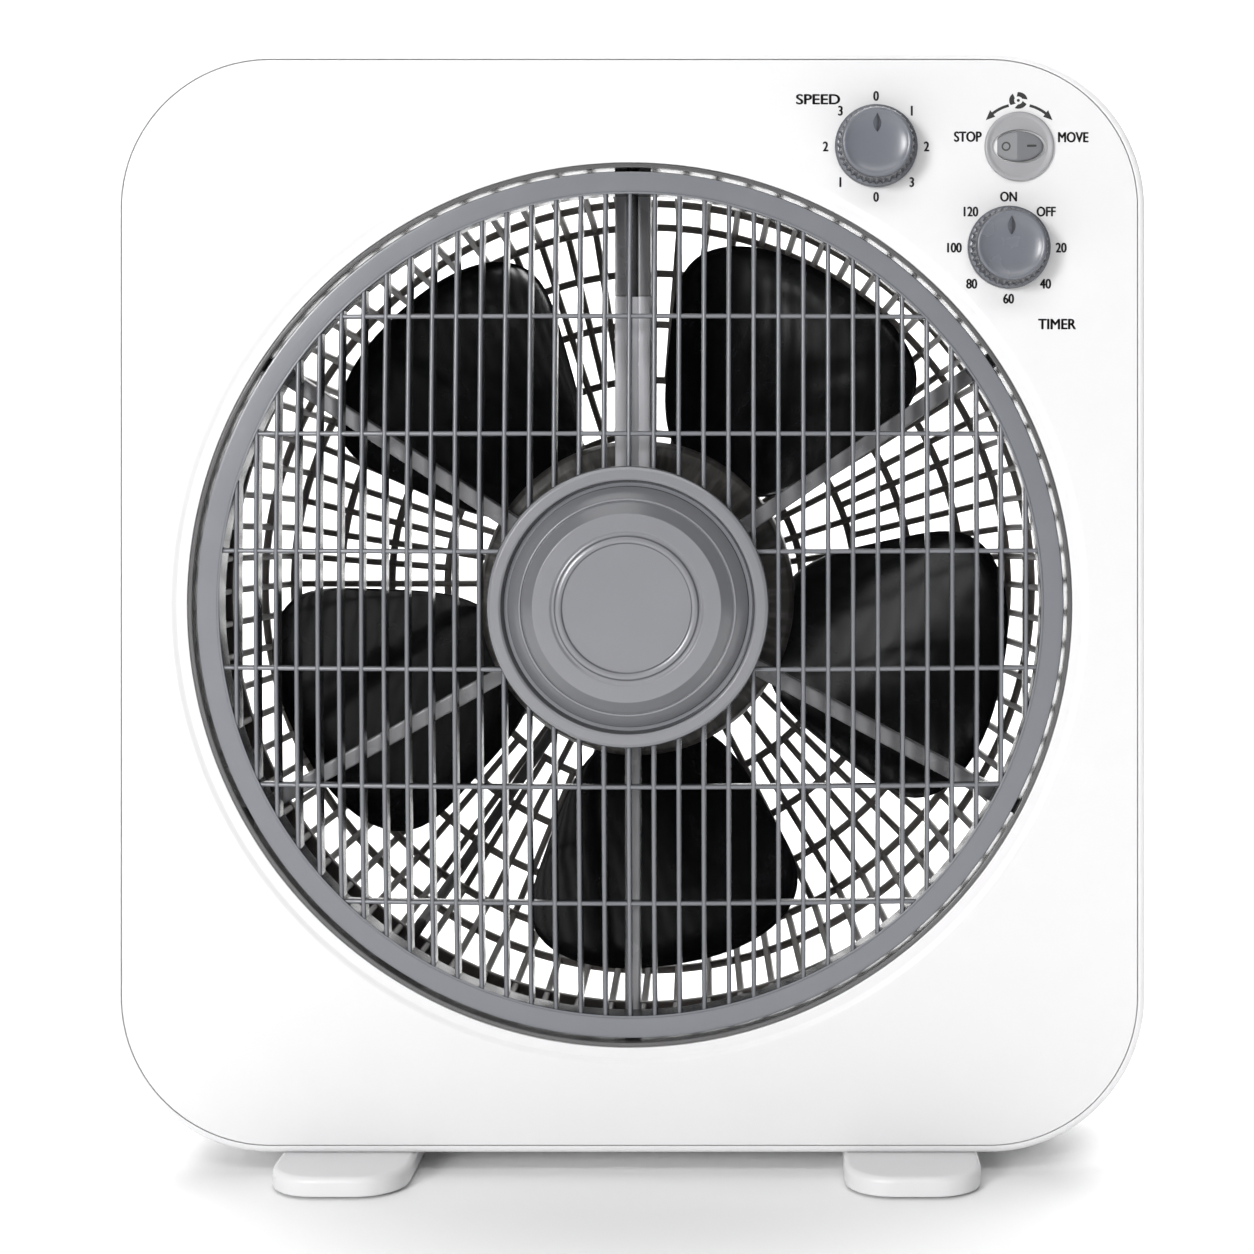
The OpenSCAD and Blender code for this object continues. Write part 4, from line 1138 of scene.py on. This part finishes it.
@dataclass
class RearNet:
    """The dark domed net behind the blades, with the centre plate that carries the motor."""

    paints: Paints
    long_ribs: int = 40
    rib_w: float = 3.0 * MM
    rib_depth: float = 3.2 * MM
    plate_r: float = 46 * MM
    short_from: float = 84 * MM
    back_rings: tuple[float, ...] = (62 * MM, 84 * MM, 107 * MM, 128 * MM)

    def __post_init__(self) -> None:
        """Reads the net's depth from the frame."""
        self.net_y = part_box("rear_grille")[1].y
        self.wall_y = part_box("rear_housing")[1].y - 2.85 * MM

    def rib_line(self, inner: float) -> list[Flat]:
        """The line that a rib's outer edge follows, from the bowl's front ring to the back's middle."""
        line = [(167 * MM, -26 * MM), (164.4 * MM, self.wall_y), (151 * MM, self.net_y - 6.5 * MM),
                (145 * MM, self.net_y), (inner, self.net_y)]
        return softened(line, 5 * MM, 5, closed=False)

    def add_rib(self, shape: Shape, angle: float, inner: float) -> None:
        """Adds one rib at an angle, as far in as a radius."""
        outward, sideways = radial_frame(angle)
        line = self.rib_line(inner)
        half = self.rib_w / 2
        slim, deep = half * 0.8, self.rib_depth
        section = softened([(-half, 0), (half, 0), (slim, deep), (-slim, deep)], 0.8 * MM)
        path = []
        for i, (r, y) in enumerate(line):
            before, after = line[max(0, i - 1)], line[min(len(line) - 1, i + 1)]
            run = Vector((after[0] - before[0], after[1] - before[1])).normalized()
            inwards = outward * -run.y + BACK * run.x
            path.append((on_axis(outward, r, y), sideways, inwards))
        shape.sweep(section, path)

    def add_ring(self, shape: Shape, inner: float, outer: float, front: float, back: float) -> None:
        """Adds one ring with rounded edges."""
        shape.turn(softened([(inner, front), (outer, front), (outer, back), (inner, back)], 0.8 * MM, 3), 240)

    def build(self) -> None:
        """The whole net."""
        shape = Shape()
        step = 360 / self.long_ribs
        for i in range(self.long_ribs):
            self.add_rib(shape, i * step, self.plate_r - 1 * MM)
            self.add_rib(shape, (i + 0.5) * step, self.short_from)
        back = self.net_y
        for r in self.back_rings:
            self.add_ring(shape, r - 1.5 * MM, r + 1.5 * MM, back - 2.7 * MM, back - 0.5 * MM)
        self.add_ring(shape, 145.2 * MM, 148.2 * MM, back - 6 * MM, back - 3 * MM)
        self.add_ring(shape, 153.2 * MM, 156.2 * MM, 41 * MM, 44 * MM)
        self.add_ring(shape, 163.2 * MM, 166 * MM, -8 * MM, -5 * MM)
        self.add_ring(shape, 162.8 * MM, 168 * MM, -29 * MM, -25.5 * MM)
        self.add_ring(shape, 161 * MM, 173 * MM, self.wall_y - 3.5 * MM, self.wall_y)
        plate = self.plate_r
        face = back - 0.3 * MM
        profile = [(0, back - 4 * MM), (plate, back - 4 * MM), (plate, face), (plate - 3 * MM, face),
                   (plate - 4.4 * MM, face - 0.9 * MM), (22 * MM, face - 0.9 * MM), (20.8 * MM, face),
                   (19 * MM, face), (17.8 * MM, face - 0.9 * MM), (0, face - 0.9 * MM)]
        shape.turn(softened(profile, 0.5 * MM), 160)
        low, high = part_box("motor_screws")
        start, rim, seat = 57.05 * MM, face + 0.1 * MM, back - 3.1 * MM
        head_r = 3.8 * MM
        for x in (low.x + head_r, high.x - head_r):
            for z in (low.z + head_r, high.z - head_r):
                post = [(2.2 * MM, start), (5 * MM, start), (6 * MM, rim), (4.4 * MM, rim), (4.3 * MM, seat),
                        (2.2 * MM, seat)]
                shape.turn(softened(post, 0.4 * MM), 40, (x, z))
        shape.piece("rear_net", self.paints["dark_net"], "housing", Slot.NET, ["rear_grille"])


# ------------------------------------------------------------------ controls


@dataclass
class Dial:
    """A fluted dial with a dished face and a leaf-shaped pointer."""

    paints: Paints
    node: str
    body: str
    flutes: int = 36
    per_flute: int = 8

    def __post_init__(self) -> None:
        """Reads the dial's place from the frame."""
        low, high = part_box(self.node)
        self.base_y, self.top_y = high.y, low.y
        self.radius = (high.x - low.x) / 2
        self.centre: Flat = ((low.x + high.x) / 2, (low.z + high.z) / 2)

    def ring(self, radius: float, ripple: float, y: float) -> Loop:
        """One loop round the dial, with flutes of some depth."""
        loop = []
        count = self.flutes * self.per_flute
        for i in range(count):
            a = FULL_TURN * i / count
            r = radius - ripple * (0.5 - 0.5 * math.cos(a * self.flutes)) ** 0.7
            loop.append(Vector((self.centre[0] + r * math.cos(a), y, self.centre[1] + r * math.sin(a))))
        return loop

    def build(self) -> None:
        """The dial and its pointer."""
        r = self.radius

        def y(height: float) -> float:
            """The depth at a height above the dial's foot, in millimetres."""
            return self.base_y - height * MM

        steps = [(r, 0, 0.0), (r, 0, 2.4), (r - 0.15 * MM, 0, 2.8), (r - 0.5 * MM, 0, 3.1),
                 (r - 0.75 * MM, 0.75 * MM, 3.3), (r - 0.95 * MM, 0.85 * MM, 5),
                 (r - 1.5 * MM, 0.8 * MM, 9.5), (r - 1.9 * MM, 0.5 * MM, 11.6), (r - 2.2 * MM, 0, 12.4),
                 (r - 2.55 * MM, 0, 12.95), (r - 3.0 * MM, 0, 13.2), (r - 3.5 * MM, 0, 13.2),
                 (r - 3.95 * MM, 0, 12.95), (r * 0.64, 0, 12.5), (r * 0.52, 0, 12.15),
                 (r * 0.38, 0, 11.9), (r * 0.2, 0, 11.75)]
        loops = [self.ring(radius, ripple, y(h)) for radius, ripple, h in steps]
        centre = Vector((self.centre[0], y(11.7), self.centre[1]))
        shape = Shape().skin([[Vector((centre.x, y(0), centre.z))], *loops, [centre]])
        shape.piece(f"{self.node}_fluted", self.paints["knob_slate"], self.body, Slot.KNOB, [self.node],
                    crease=50.0)
        self.build_pointer(y)

    def build_pointer(self, y: Callable[[float], float]) -> None:
        """The pointer: a narrow raised leaf with a spine, near the dial's edge."""
        rows = 13
        length, width, middle = 7.2 * MM, 2.3 * MM, self.radius * 0.49
        loops = []
        for i in range(rows):
            t = -1 + 2 * i / (rows - 1)
            half = max(0.02 * MM, width / 2 * (1 - abs(t) ** 2.2))
            z = self.centre[1] + middle + length / 2 * t
            foot, ridge = 12.0 - 0.25 * abs(t), 12.3 + 1.35 * (1 - abs(t) ** 3)
            flank = (foot + ridge) / 2
            section = ((-1.35, foot), (-0.5, flank), (0, ridge), (0.5, flank), (1.35, foot), (0, 11.4))
            loops.append([Vector((self.centre[0] + half * u, y(h), z)) for u, h in section])
        Shape().skin(loops).piece(f"{self.node}_pointer", self.paints["knob_slate"], self.body, Slot.KNOB)


@dataclass
class Rocker:
    """The round bezel and the oval rocker that tips in it, with its two signs."""

    paints: Paints
    half_w: float = 9 * MM
    half_h: float = 5.4 * MM
    slope: float = 6.0
    rest_tilt: float = 12.0

    def __post_init__(self) -> None:
        """Reads the bezel's place from the frame."""
        low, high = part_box("rocker_bezel")
        self.front_y = low.y
        self.radius = (high.x - low.x) / 2
        self.centre: Flat = ((low.x + high.x) / 2, (low.z + high.z) / 2)
        self.face_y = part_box("rear_housing")[0].y
        self.pivot = Vector((self.centre[0], self.face_y + 2.2 * MM, self.centre[1]))

    def slot_line(self, grow: float) -> list[Flat]:
        """The rocker's oval outline, grown by some distance."""
        return oval(self.half_w + grow, self.half_h + grow, 160, self.centre)

    def build_bezel(self) -> None:
        """The bezel: a raised ring, a shallow dish and the oval hole."""
        r, y = self.radius, self.face_y
        front = self.front_y

        def ring(radius: float, depth: float) -> tuple[list[Flat], float]:
            """A circle at a depth."""
            return circle(radius, 160, self.centre), depth

        outside = [ring(r - 1.5 * MM, y - 0.05 * MM), ring(r, y - 0.05 * MM), ring(r, front + 0.75 * MM),
                   ring(r - 0.15 * MM, front + 0.3 * MM), ring(r - 0.5 * MM, front + 0.05 * MM),
                   ring(r - 0.9 * MM, front), ring(r - 1.3 * MM, front + 0.08 * MM),
                   ring(r - 1.7 * MM, front + 0.35 * MM), ring(r - 2.2 * MM, front + 0.5 * MM)]
        inside = [(self.slot_line(1.1 * MM), front + 0.5 * MM),
                  (self.slot_line(0.85 * MM), front + 0.42 * MM),
                  (self.slot_line(0.65 * MM), front + 0.5 * MM), (self.slot_line(0.6 * MM), front + 0.8 * MM),
                  (self.slot_line(0.6 * MM), y + 8 * MM), ring(self.half_w + 1.4 * MM, y + 8 * MM),
                  ring(self.half_w + 1.4 * MM, y - 0.05 * MM)]
        shape = Shape().stack(outside + inside, joined=True)
        shape.piece("rocker_bezel_ring", self.paints["bezel_grey"], "housing", Slot.BEZEL, ["rocker_bezel"])

    def tip(self, point: Vector) -> Vector:
        """Turns a point from the level rocker to its rest position, left side pressed in."""
        a = math.radians(-self.rest_tilt)
        x, y = point.x - self.pivot.x, point.y - self.pivot.y
        return Vector((self.pivot.x + x * math.cos(a) - y * math.sin(a),
                       self.pivot.y + x * math.sin(a) + y * math.cos(a), point.z))

    def top(self, x: float) -> float:
        """The level rocker's face depth at a place across it; its two halves slope from the middle."""
        return self.pivot.y - 4.55 * MM + abs(x - self.centre[0]) * math.tan(math.radians(self.slope))

    def build_button(self) -> None:
        """The rocker and its two printed signs."""
        steps = [(0.0, 0.5), (-0.12, 0.2), (-0.35, 0.03), (-0.7, 0.0), (-1.6, 0.0), (-2.8, 0.0), (-4.0, 0.0),
                 (-5.0, 0.0)]
        deep = self.pivot.y + 2.8 * MM
        loops = [[self.tip(Vector((x, deep, z))) for x, z in self.slot_line(0.0)]]
        for grow, depth in steps:
            line = self.slot_line(grow * MM)
            loops.append([self.tip(Vector((x, self.top(x) + depth * MM, z))) for x, z in line])
        spine = [(x, self.centre[1]) for x, _ in self.slot_line(-5.0 * MM)]
        loops.append([self.tip(Vector((x, self.top(x), z))) for x, z in spine])
        shape = Shape().skin(loops, caps=False)
        shape.piece("rocker_face", self.paints["rocker_grey"], "rocker", Slot.KNOB, ["rocker_button"],
                    crease=50.0)
        self.build_signs()

    def build_signs(self) -> None:
        """A ring on the left half and a dash on the right half."""
        shape = Shape()
        left, right = self.centre[0] - 4.0 * MM, self.centre[0] + 5.2 * MM
        count = 48
        loops = []
        for radius, lift in ((1.66, 0.0), (1.66, 0.07), (1.08, 0.07), (1.08, 0.0)):
            ring = circle(radius * MM, count, (left, self.centre[1]))
            loops.append([self.tip(Vector((x, self.top(x) - lift * MM + 0.01 * MM, z))) for x, z in ring])
        shape.skin(loops, joined=True)
        dash = round_box(1.7 * MM, 0.4 * MM, 0.15 * MM, 32, (right, self.centre[1]))
        shape.skin([[self.tip(Vector((x, self.top(x) + d * MM, z))) for x, z in dash] for d in (0.02, -0.07)])
        shape.piece("rocker_signs", self.paints["print"], "rocker")


@dataclass
class Marks:
    """The printed numbers and plain words round the controls."""

    paints: Paints
    letter: float = 3.6 * MM
    word: float = 3.8 * MM
    ink: float = 0.04 * MM
    bold: float = 0.05
    narrow: float = 0.8

    def __post_init__(self) -> None:
        """Reads the panel's face and the controls' places from the frame."""
        self.face_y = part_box("rear_housing")[0].y
        self.places = {name: (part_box(name)[0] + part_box(name)[1]) / 2
                       for name in ("speed_knob", "timer_knob", "rocker_bezel")}
        self.meshes: list[bpy.types.Mesh] = []

    def write(self, text: str, centre: Flat, height: float, width: float | None = None) -> None:
        """Adds text, centred on a place, and prints it four times a little apart to make it bold.

        Args:
            text: The characters.
            centre: The middle of the text, as (x, z).
            height: Its height.
            width: Its width; narrowed like the numbers when it isn't given.
        """
        curve = bpy.data.curves.new(f"mark_{text}", "FONT")
        curve.body = text
        curve.extrude = 0.1
        holder = bpy.data.objects.new(f"mark_{text}", curve)
        bpy.context.scene.collection.objects.link(holder)
        bpy.context.view_layer.update()
        made = bpy.data.meshes.new_from_object(holder.evaluated_get(bpy.context.evaluated_depsgraph_get()))
        bpy.data.objects.remove(holder)
        low = [min(v.co[i] for v in made.vertices) for i in range(3)]
        high = [max(v.co[i] for v in made.vertices) for i in range(3)]
        bold = self.bold * height
        up = (height - bold) / (high[1] - low[1])
        across = up * self.narrow if width is None else (width - 2 * bold) / (high[0] - low[0])
        for shift in ((-bold, 0), (0, bold / 2), (0, -bold / 2), (bold, 0)):
            copy = made.copy()
            for v in copy.vertices:
                x = centre[0] + (v.co.x - (low[0] + high[0]) / 2) * across + shift[0]
                z = centre[1] + (v.co.y - (low[1] + high[1]) / 2) * up + shift[1]
                v.co = (x, self.face_y - self.ink * (0.5 + 5 * v.co.z), z)
            self.meshes.append(copy)

    def around(self, control: str, words: Sequence[str], radius: float, wide: float) -> None:
        """Writes words round a dial, clockwise from the top; wide ones stand a little further out."""
        centre = self.places[control]
        for i, text in enumerate(words):
            a = math.radians(90 - 360 / len(words) * i)
            reach = radius + wide * (len(text) - 1) * abs(math.cos(a))
            self.write(text, (centre.x + reach * math.cos(a), centre.z + radius * math.sin(a)), self.letter)

    def build_sign(self, shape: Shape) -> None:
        """The louvre's sign: a small three-bladed wheel over a double arrow."""
        centre = self.places["rocker_bezel"]
        hub = (centre.x - 0.3 * MM, centre.z + 16.6 * MM)
        ink = (self.face_y + 0.02 * MM, self.face_y - self.ink)
        for k in range(3):
            mid = math.radians(50 + 120 * k)
            outer = [mid + math.radians(44) * (t / 8 - 1) for t in range(17)]
            blade = [(hub[0] + 3.3 * MM * math.cos(a), hub[1] + 3.0 * MM * math.sin(a)) for a in outer]
            inner = [(hub[0] + 1.5 * MM * math.cos(a + 0.35), hub[1] + 1.4 * MM * math.sin(a + 0.35))
                     for a in reversed(outer)]
            shape.stack([(blade + inner, y) for y in ink])
        shape.stack([(circle(0.55 * MM, 20, hub), y) for y in ink])
        radius, half_line, half_head = 15.4 * MM, 0.5 * MM, 1.5 * MM

        def at(reach: float, angle: float) -> Flat:
            """A place at a distance and a direction from the arrows' common centre."""
            return (centre.x + reach * math.cos(angle), centre.z - 0.2 * MM + reach * math.sin(angle))

        for side in (-1, 1):
            start, end = 104 if side < 0 else 76, 128 if side < 0 else 52
            arc = [math.radians(start + (end - start) * t / 10) for t in range(11)]
            outer = [at(radius + half_line, a) for a in arc]
            inner = [at(radius - half_line, a) for a in reversed(arc)]
            shape.stack([(outer + inner, y) for y in ink])
            head = [at(radius, math.radians(end - 13 * side))]
            head += [at(radius + s * half_head, arc[-1]) for s in (-1, 1)]
            shape.stack([(head, y) for y in ink])

    def build(self) -> None:
        """All printed marks as one thin piece on the panel."""
        self.around("speed_knob", ("0", "1", "2", "3", "0", "1", "2", "3"), 18.1 * MM, 0.0)
        self.around("timer_knob", ("ON", "OFF", "20", "40", "60", "80", "100", "120"), 18.3 * MM, 0.55 * MM)
        speed, timer, rocker = (self.places[n] for n in ("speed_knob", "timer_knob", "rocker_bezel"))
        self.write("SPEED", (speed.x - 20.8 * MM, speed.z + 16.9 * MM), self.word, 15.9 * MM)
        self.write("TIMER", (timer.x + 17.4 * MM, timer.z - 27.4 * MM), self.word, 13.7 * MM)
        self.write("STOP", (rocker.x - 18.4 * MM, rocker.z + 3.6 * MM), self.word, 10.0 * MM)
        self.write("MOVE", (rocker.x + 19.4 * MM, rocker.z + 3.4 * MM), self.word, 11.0 * MM)
        shape = Shape()
        self.build_sign(shape)
        for flat in self.meshes:
            shape.mesh.from_mesh(flat)
        made = shape.piece("panel_marks", self.paints["print"], "housing")
        made.data.validate()


# ------------------------------------------------------------------ feet and fasteners


@dataclass
class Foot:
    """One of the two long feet, with a rounded top edge."""

    paints: Paints
    node: str
    end_r: float = 17 * MM
    edge: float = 2.2 * MM

    def build(self) -> None:
        """The foot, stacked from its outline with a rounding at the top."""
        low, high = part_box(self.node)
        half_w, half_l = (high.x - low.x) / 2, (high.y - low.y) / 2
        centre = ((low.x + high.x) / 2, (low.y + high.y) / 2)

        def ring(inset: float, z: float) -> Loop:
            """The foot's outline, drawn in, at a height."""
            line = round_box(half_w - inset, half_l - inset, self.end_r - inset, 200, centre)
            return [Vector((x, y, z)) for x, y in line]

        levels = [(0.9 * MM, low.z), (0.3 * MM, low.z + 0.2 * MM), (0.0, low.z + 0.8 * MM)]
        levels += [(inset, z) for inset, z in quarter((self.edge, high.z - self.edge), self.edge, 180, 90)]
        Shape().skin([ring(inset, z) for inset, z in levels]).piece(
            f"{self.node}_moulding", self.paints["white_shell"], "housing", Slot.SHELL, [self.node])


@dataclass
class ScrewSet:
    """A group of like screws seen from behind, each with a domed head and a cross recess."""

    paints: Paints
    node: str
    piece_name: str
    head_r: float
    centres: list[Flat]
    head_h: float = 1.8 * MM

    def build(self) -> None:
        """Domed heads with a cross cut into them, and their shanks."""
        low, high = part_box(self.node)
        y = high.y
        shape = Shape()
        for x, z in self.centres:
            self._add_head(shape, x, z, y)
            shank = [(0, low.y), (1.3 * MM, low.y), (1.3 * MM, y - self.head_h), (0, y - self.head_h)]
            shape.turn(softened(shank, 0.2 * MM), 24, (x, z))
        shape.piece(self.piece_name, self.paints["steel"], "housing", Slot.STEEL, [self.node])

    def _add_head(self, shape: Shape, x: float, z: float, y: float) -> None:
        """One head: rings that pinch to a cross in the middle and sink to its floor."""
        r, arm, half = self.head_r, self.head_r * 0.56, self.head_r * 0.15
        count = 48

        def cross(grow: float) -> list[Flat]:
            """The cross recess's outline, drawn by angle."""
            points = []
            for i in range(count):
                a = FULL_TURN * i / count
                c, s = abs(math.cos(a)), abs(math.sin(a))
                wide, thin = max(c, s), max(min(c, s), 1e-6)
                reach = min((arm + grow) / wide, (half + grow) / thin)
                points.append((x + reach * math.cos(a), z + reach * math.sin(a)))
            return points

        dome = ((1, 1), (1, 0.55), (0.93, 0.25), (0.78, 0.07), (0.66, 0))
        levels = [(circle(r * share, count, (x, z)), y - self.head_h * depth) for share, depth in dome]
        shape.stack([*levels, (cross(0.0), y), (cross(-half * 0.25), y - self.head_h * 0.6)])


def rear_screws(paints: Paints) -> list[ScrewSet]:
    """The three groups of screws that show at the back."""
    low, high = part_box("housing_screws")
    top, bottom = high.z - 3.4 * MM, low.z + 3.4 * MM
    wide = high.x - 3.4 * MM
    narrow = 142 * MM
    corners = [(sx * wide, top) for sx in (-1, 1)] + [(sx * narrow, bottom) for sx in (-1, 1)]
    ring_r, bolt_r = 169 * MM, 33 * MM

    def spread(radius: float, count: int) -> list[Flat]:
        """Places evenly round the axis, starting half a step above the right."""
        steps = [math.radians(360 / count * (i + 0.5)) for i in range(count)]
        return [(AXIS.x + radius * math.cos(a), AXIS.z + radius * math.sin(a)) for a in steps]

    return [ScrewSet(paints, "housing_screws", "housing_screw_heads", 3.4 * MM, corners),
            ScrewSet(paints, "grille_screws", "net_screw_heads", 3.0 * MM, spread(ring_r, 6)),
            ScrewSet(paints, "motor_screws", "motor_screw_heads", 3.8 * MM, spread(bolt_r, 4))]


@dataclass
class Gland:
    """The cord gland in the back wall: a tapered, ribbed rubber sleeve."""

    paints: Paints

    def build(self) -> None:
        """The sleeve with its three soft ribs."""
        low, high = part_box("cord_gland")
        centre = ((low.x + high.x) / 2, (low.z + high.z) / 2)
        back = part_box("rear_housing")[1].y
        profile = [(3.6 * MM, low.y), (7.6 * MM, low.y), (7.6 * MM, low.y + 3 * MM),
                   (5.9 * MM, low.y + 3 * MM), (5.9 * MM, back + 0.1 * MM), (7.4 * MM, back + 0.2 * MM)]
        for k in range(3):
            y = back + (2.2 + 2.3 * k) * MM
            r = (7.1 - 0.55 * k) * MM
            profile += [(r, y), (r - 0.7 * MM, y + 0.5 * MM), (r - 0.7 * MM, y + 1.1 * MM),
                        (r - 0.1 * MM, y + 1.6 * MM)]
        profile += [(5.5 * MM, high.y), (3.6 * MM, high.y)]
        Shape().turn(softened(profile, 0.35 * MM), 72, centre).piece(
            "cord_gland_sleeve", self.paints["black_plastic"], "housing", Slot.BLACK, ["cord_gland"])


# ------------------------------------------------------------------ carried-over nodes and the studio


def dress_nodes(paints: Paints) -> None:
    """Gives every CAD node that is still shown the finish of its record slot."""
    slots = {row["node"]: row["material_slot"] for row in frame["record"]["subparts"]}
    for name, node in frame["nodes"].items():
        if node.hide_render:
            continue
        node.data.materials.clear()
        node.data.materials.append(paints[slots[name]])
        LOG.info("%s keeps its CAD shape in %s", name, slots[name])


@dataclass
class Studio:
    """A pale seamless floor, soft lights and the camera."""

    distance: float = 850 * MM
    view_width: float = 449.6 * MM
    sensor: float = 36.0
    side: float = 60 * MM
    lift: float = 58 * MM
    margin_right: float = 0.9 * MM
    margin_up: float = 8.8 * MM

    def build(self) -> None:
        """Builds all of it."""
        self.build_floor()
        self.build_lights()
        self.build_camera()

    def build_floor(self) -> None:
        """A floor that sweeps up into a wall far behind."""
        paint = MouldedPlastic("studio_paper", (0.93, 0.93, 0.93), 0.7, 0.004, 1.2 * MM, 0.01 * MM).material()
        far, bend, tall, side = 2.6, 0.9, 4.0, 5.0
        line = [(-3.0, 0.0), (far - bend, 0.0)]
        line += quarter((far - bend, bend), bend, -90, 0, 16)[1:] + [(far, tall)]
        data = bpy.data.meshes.new("studio_floor")
        corners = [(x, y, z) for y, z in line for x in (-side, side)]
        faces = [(2 * i, 2 * i + 1, 2 * i + 3, 2 * i + 2) for i in range(len(line) - 1)]
        data.from_pydata(corners, [], faces)
        for polygon in data.polygons:
            polygon.use_smooth = True
        data.materials.append(paint)
        floor = bpy.data.objects.new("studio_floor", data)
        bpy.context.scene.collection.objects.link(floor)

    @staticmethod
    def add_light(name: str, place: Vector, aim: Vector, width: float, height: float, power: float) -> None:
        """Adds one soft light.

        Args:
            name: Its name.
            place: Where it hangs.
            aim: The point that it faces.
            width: Its width.
            height: Its height.
            power: Its power in watts.
        """
        lamp = bpy.data.lights.new(name, "AREA")
        lamp.shape = "RECTANGLE"
        lamp.size, lamp.size_y = width, height
        lamp.energy = power
        holder = bpy.data.objects.new(name, lamp)
        holder.location = place
        holder.rotation_mode = "QUATERNION"
        holder.rotation_quaternion = (aim - place).to_track_quat("-Z", "Y")
        bpy.context.scene.collection.objects.link(holder)

    def build_lights(self) -> None:
        """A key from the upper left, a soft light above, a light on the wall and a faint glow all round."""
        aim = Vector((0, 0, 0.2))
        self.add_light("floor_light", Vector((0, -1.6, 1.6)), Vector((0, -0.9, 0)), 2.0, 0.6, 16)
        self.add_light("key_light", Vector((-1.1, -2.3, 0.75)), aim, 0.6, 0.6, 40)
        self.add_light("top_light", Vector((-0.3, 0.3, 2.0)), aim, 1.8, 1.6, 21)
        self.add_light("wall_light", Vector((0, 0.7, 2.2)), Vector((0, 2.6, 0.2)), 3.4, 1.2, 150)
        world = bpy.data.worlds.new("bright_room")
        world.use_nodes = True
        backdrop = world.node_tree.nodes["Background"]
        backdrop.inputs["Color"].default_value = (1.0, 1.0, 1.0, 1.0)
        backdrop.inputs["Strength"].default_value = 0.1
        bpy.context.scene.world = world
        bpy.context.scene.view_settings.view_transform = "Standard"

    def build_camera(self) -> None:
        """A level camera that looks straight at the panel, a little above and to the right of its middle."""
        low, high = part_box("rear_housing")
        middle = (low + high) / 2
        place = Vector((middle.x + self.side, low.y - self.distance, middle.z + self.lift))
        data = bpy.data.cameras.new("view")
        data.sensor_width = self.sensor
        data.lens = self.sensor * self.distance / self.view_width
        data.shift_x = -(self.side + self.margin_right) / self.view_width
        data.shift_y = -(self.lift + self.margin_up) / self.view_width
        camera = bpy.data.objects.new("view", data)
        camera.location = place
        camera.rotation_euler = (math.pi / 2, 0, 0)
        bpy.context.scene.collection.objects.link(camera)
        bpy.context.scene.camera = camera


def main() -> None:
    """Builds the fan's pieces in order, dresses the carried-over nodes and sets up the studio."""
    logging.basicConfig(level=logging.INFO, format="%(message)s")
    paints = Paints()
    Studio().build()
    housing = Housing(paints)
    housing.build_panel()
    housing.build_shell()
    louvre = Louvre(paints)
    louvre.build_wheel()
    louvre.build_cap()
    Spider(paints).build()
    rotor = Rotor(paints)
    rotor.build_blades()
    rotor.build_hub()
    rotor.build_nut()
    RearNet(paints).build()
    Dial(paints, "speed_knob", "speed_dial").build()
    Dial(paints, "timer_knob", "timer_dial").build()
    rocker = Rocker(paints)
    rocker.build_bezel()
    rocker.build_button()
    Marks(paints).build()
    for node in ("left_foot", "right_foot"):
        Foot(paints, node).build()
    for screws in rear_screws(paints):
        screws.build()
    Gland(paints).build()
    dress_nodes(paints)


if __name__ == "__main__":
    main()
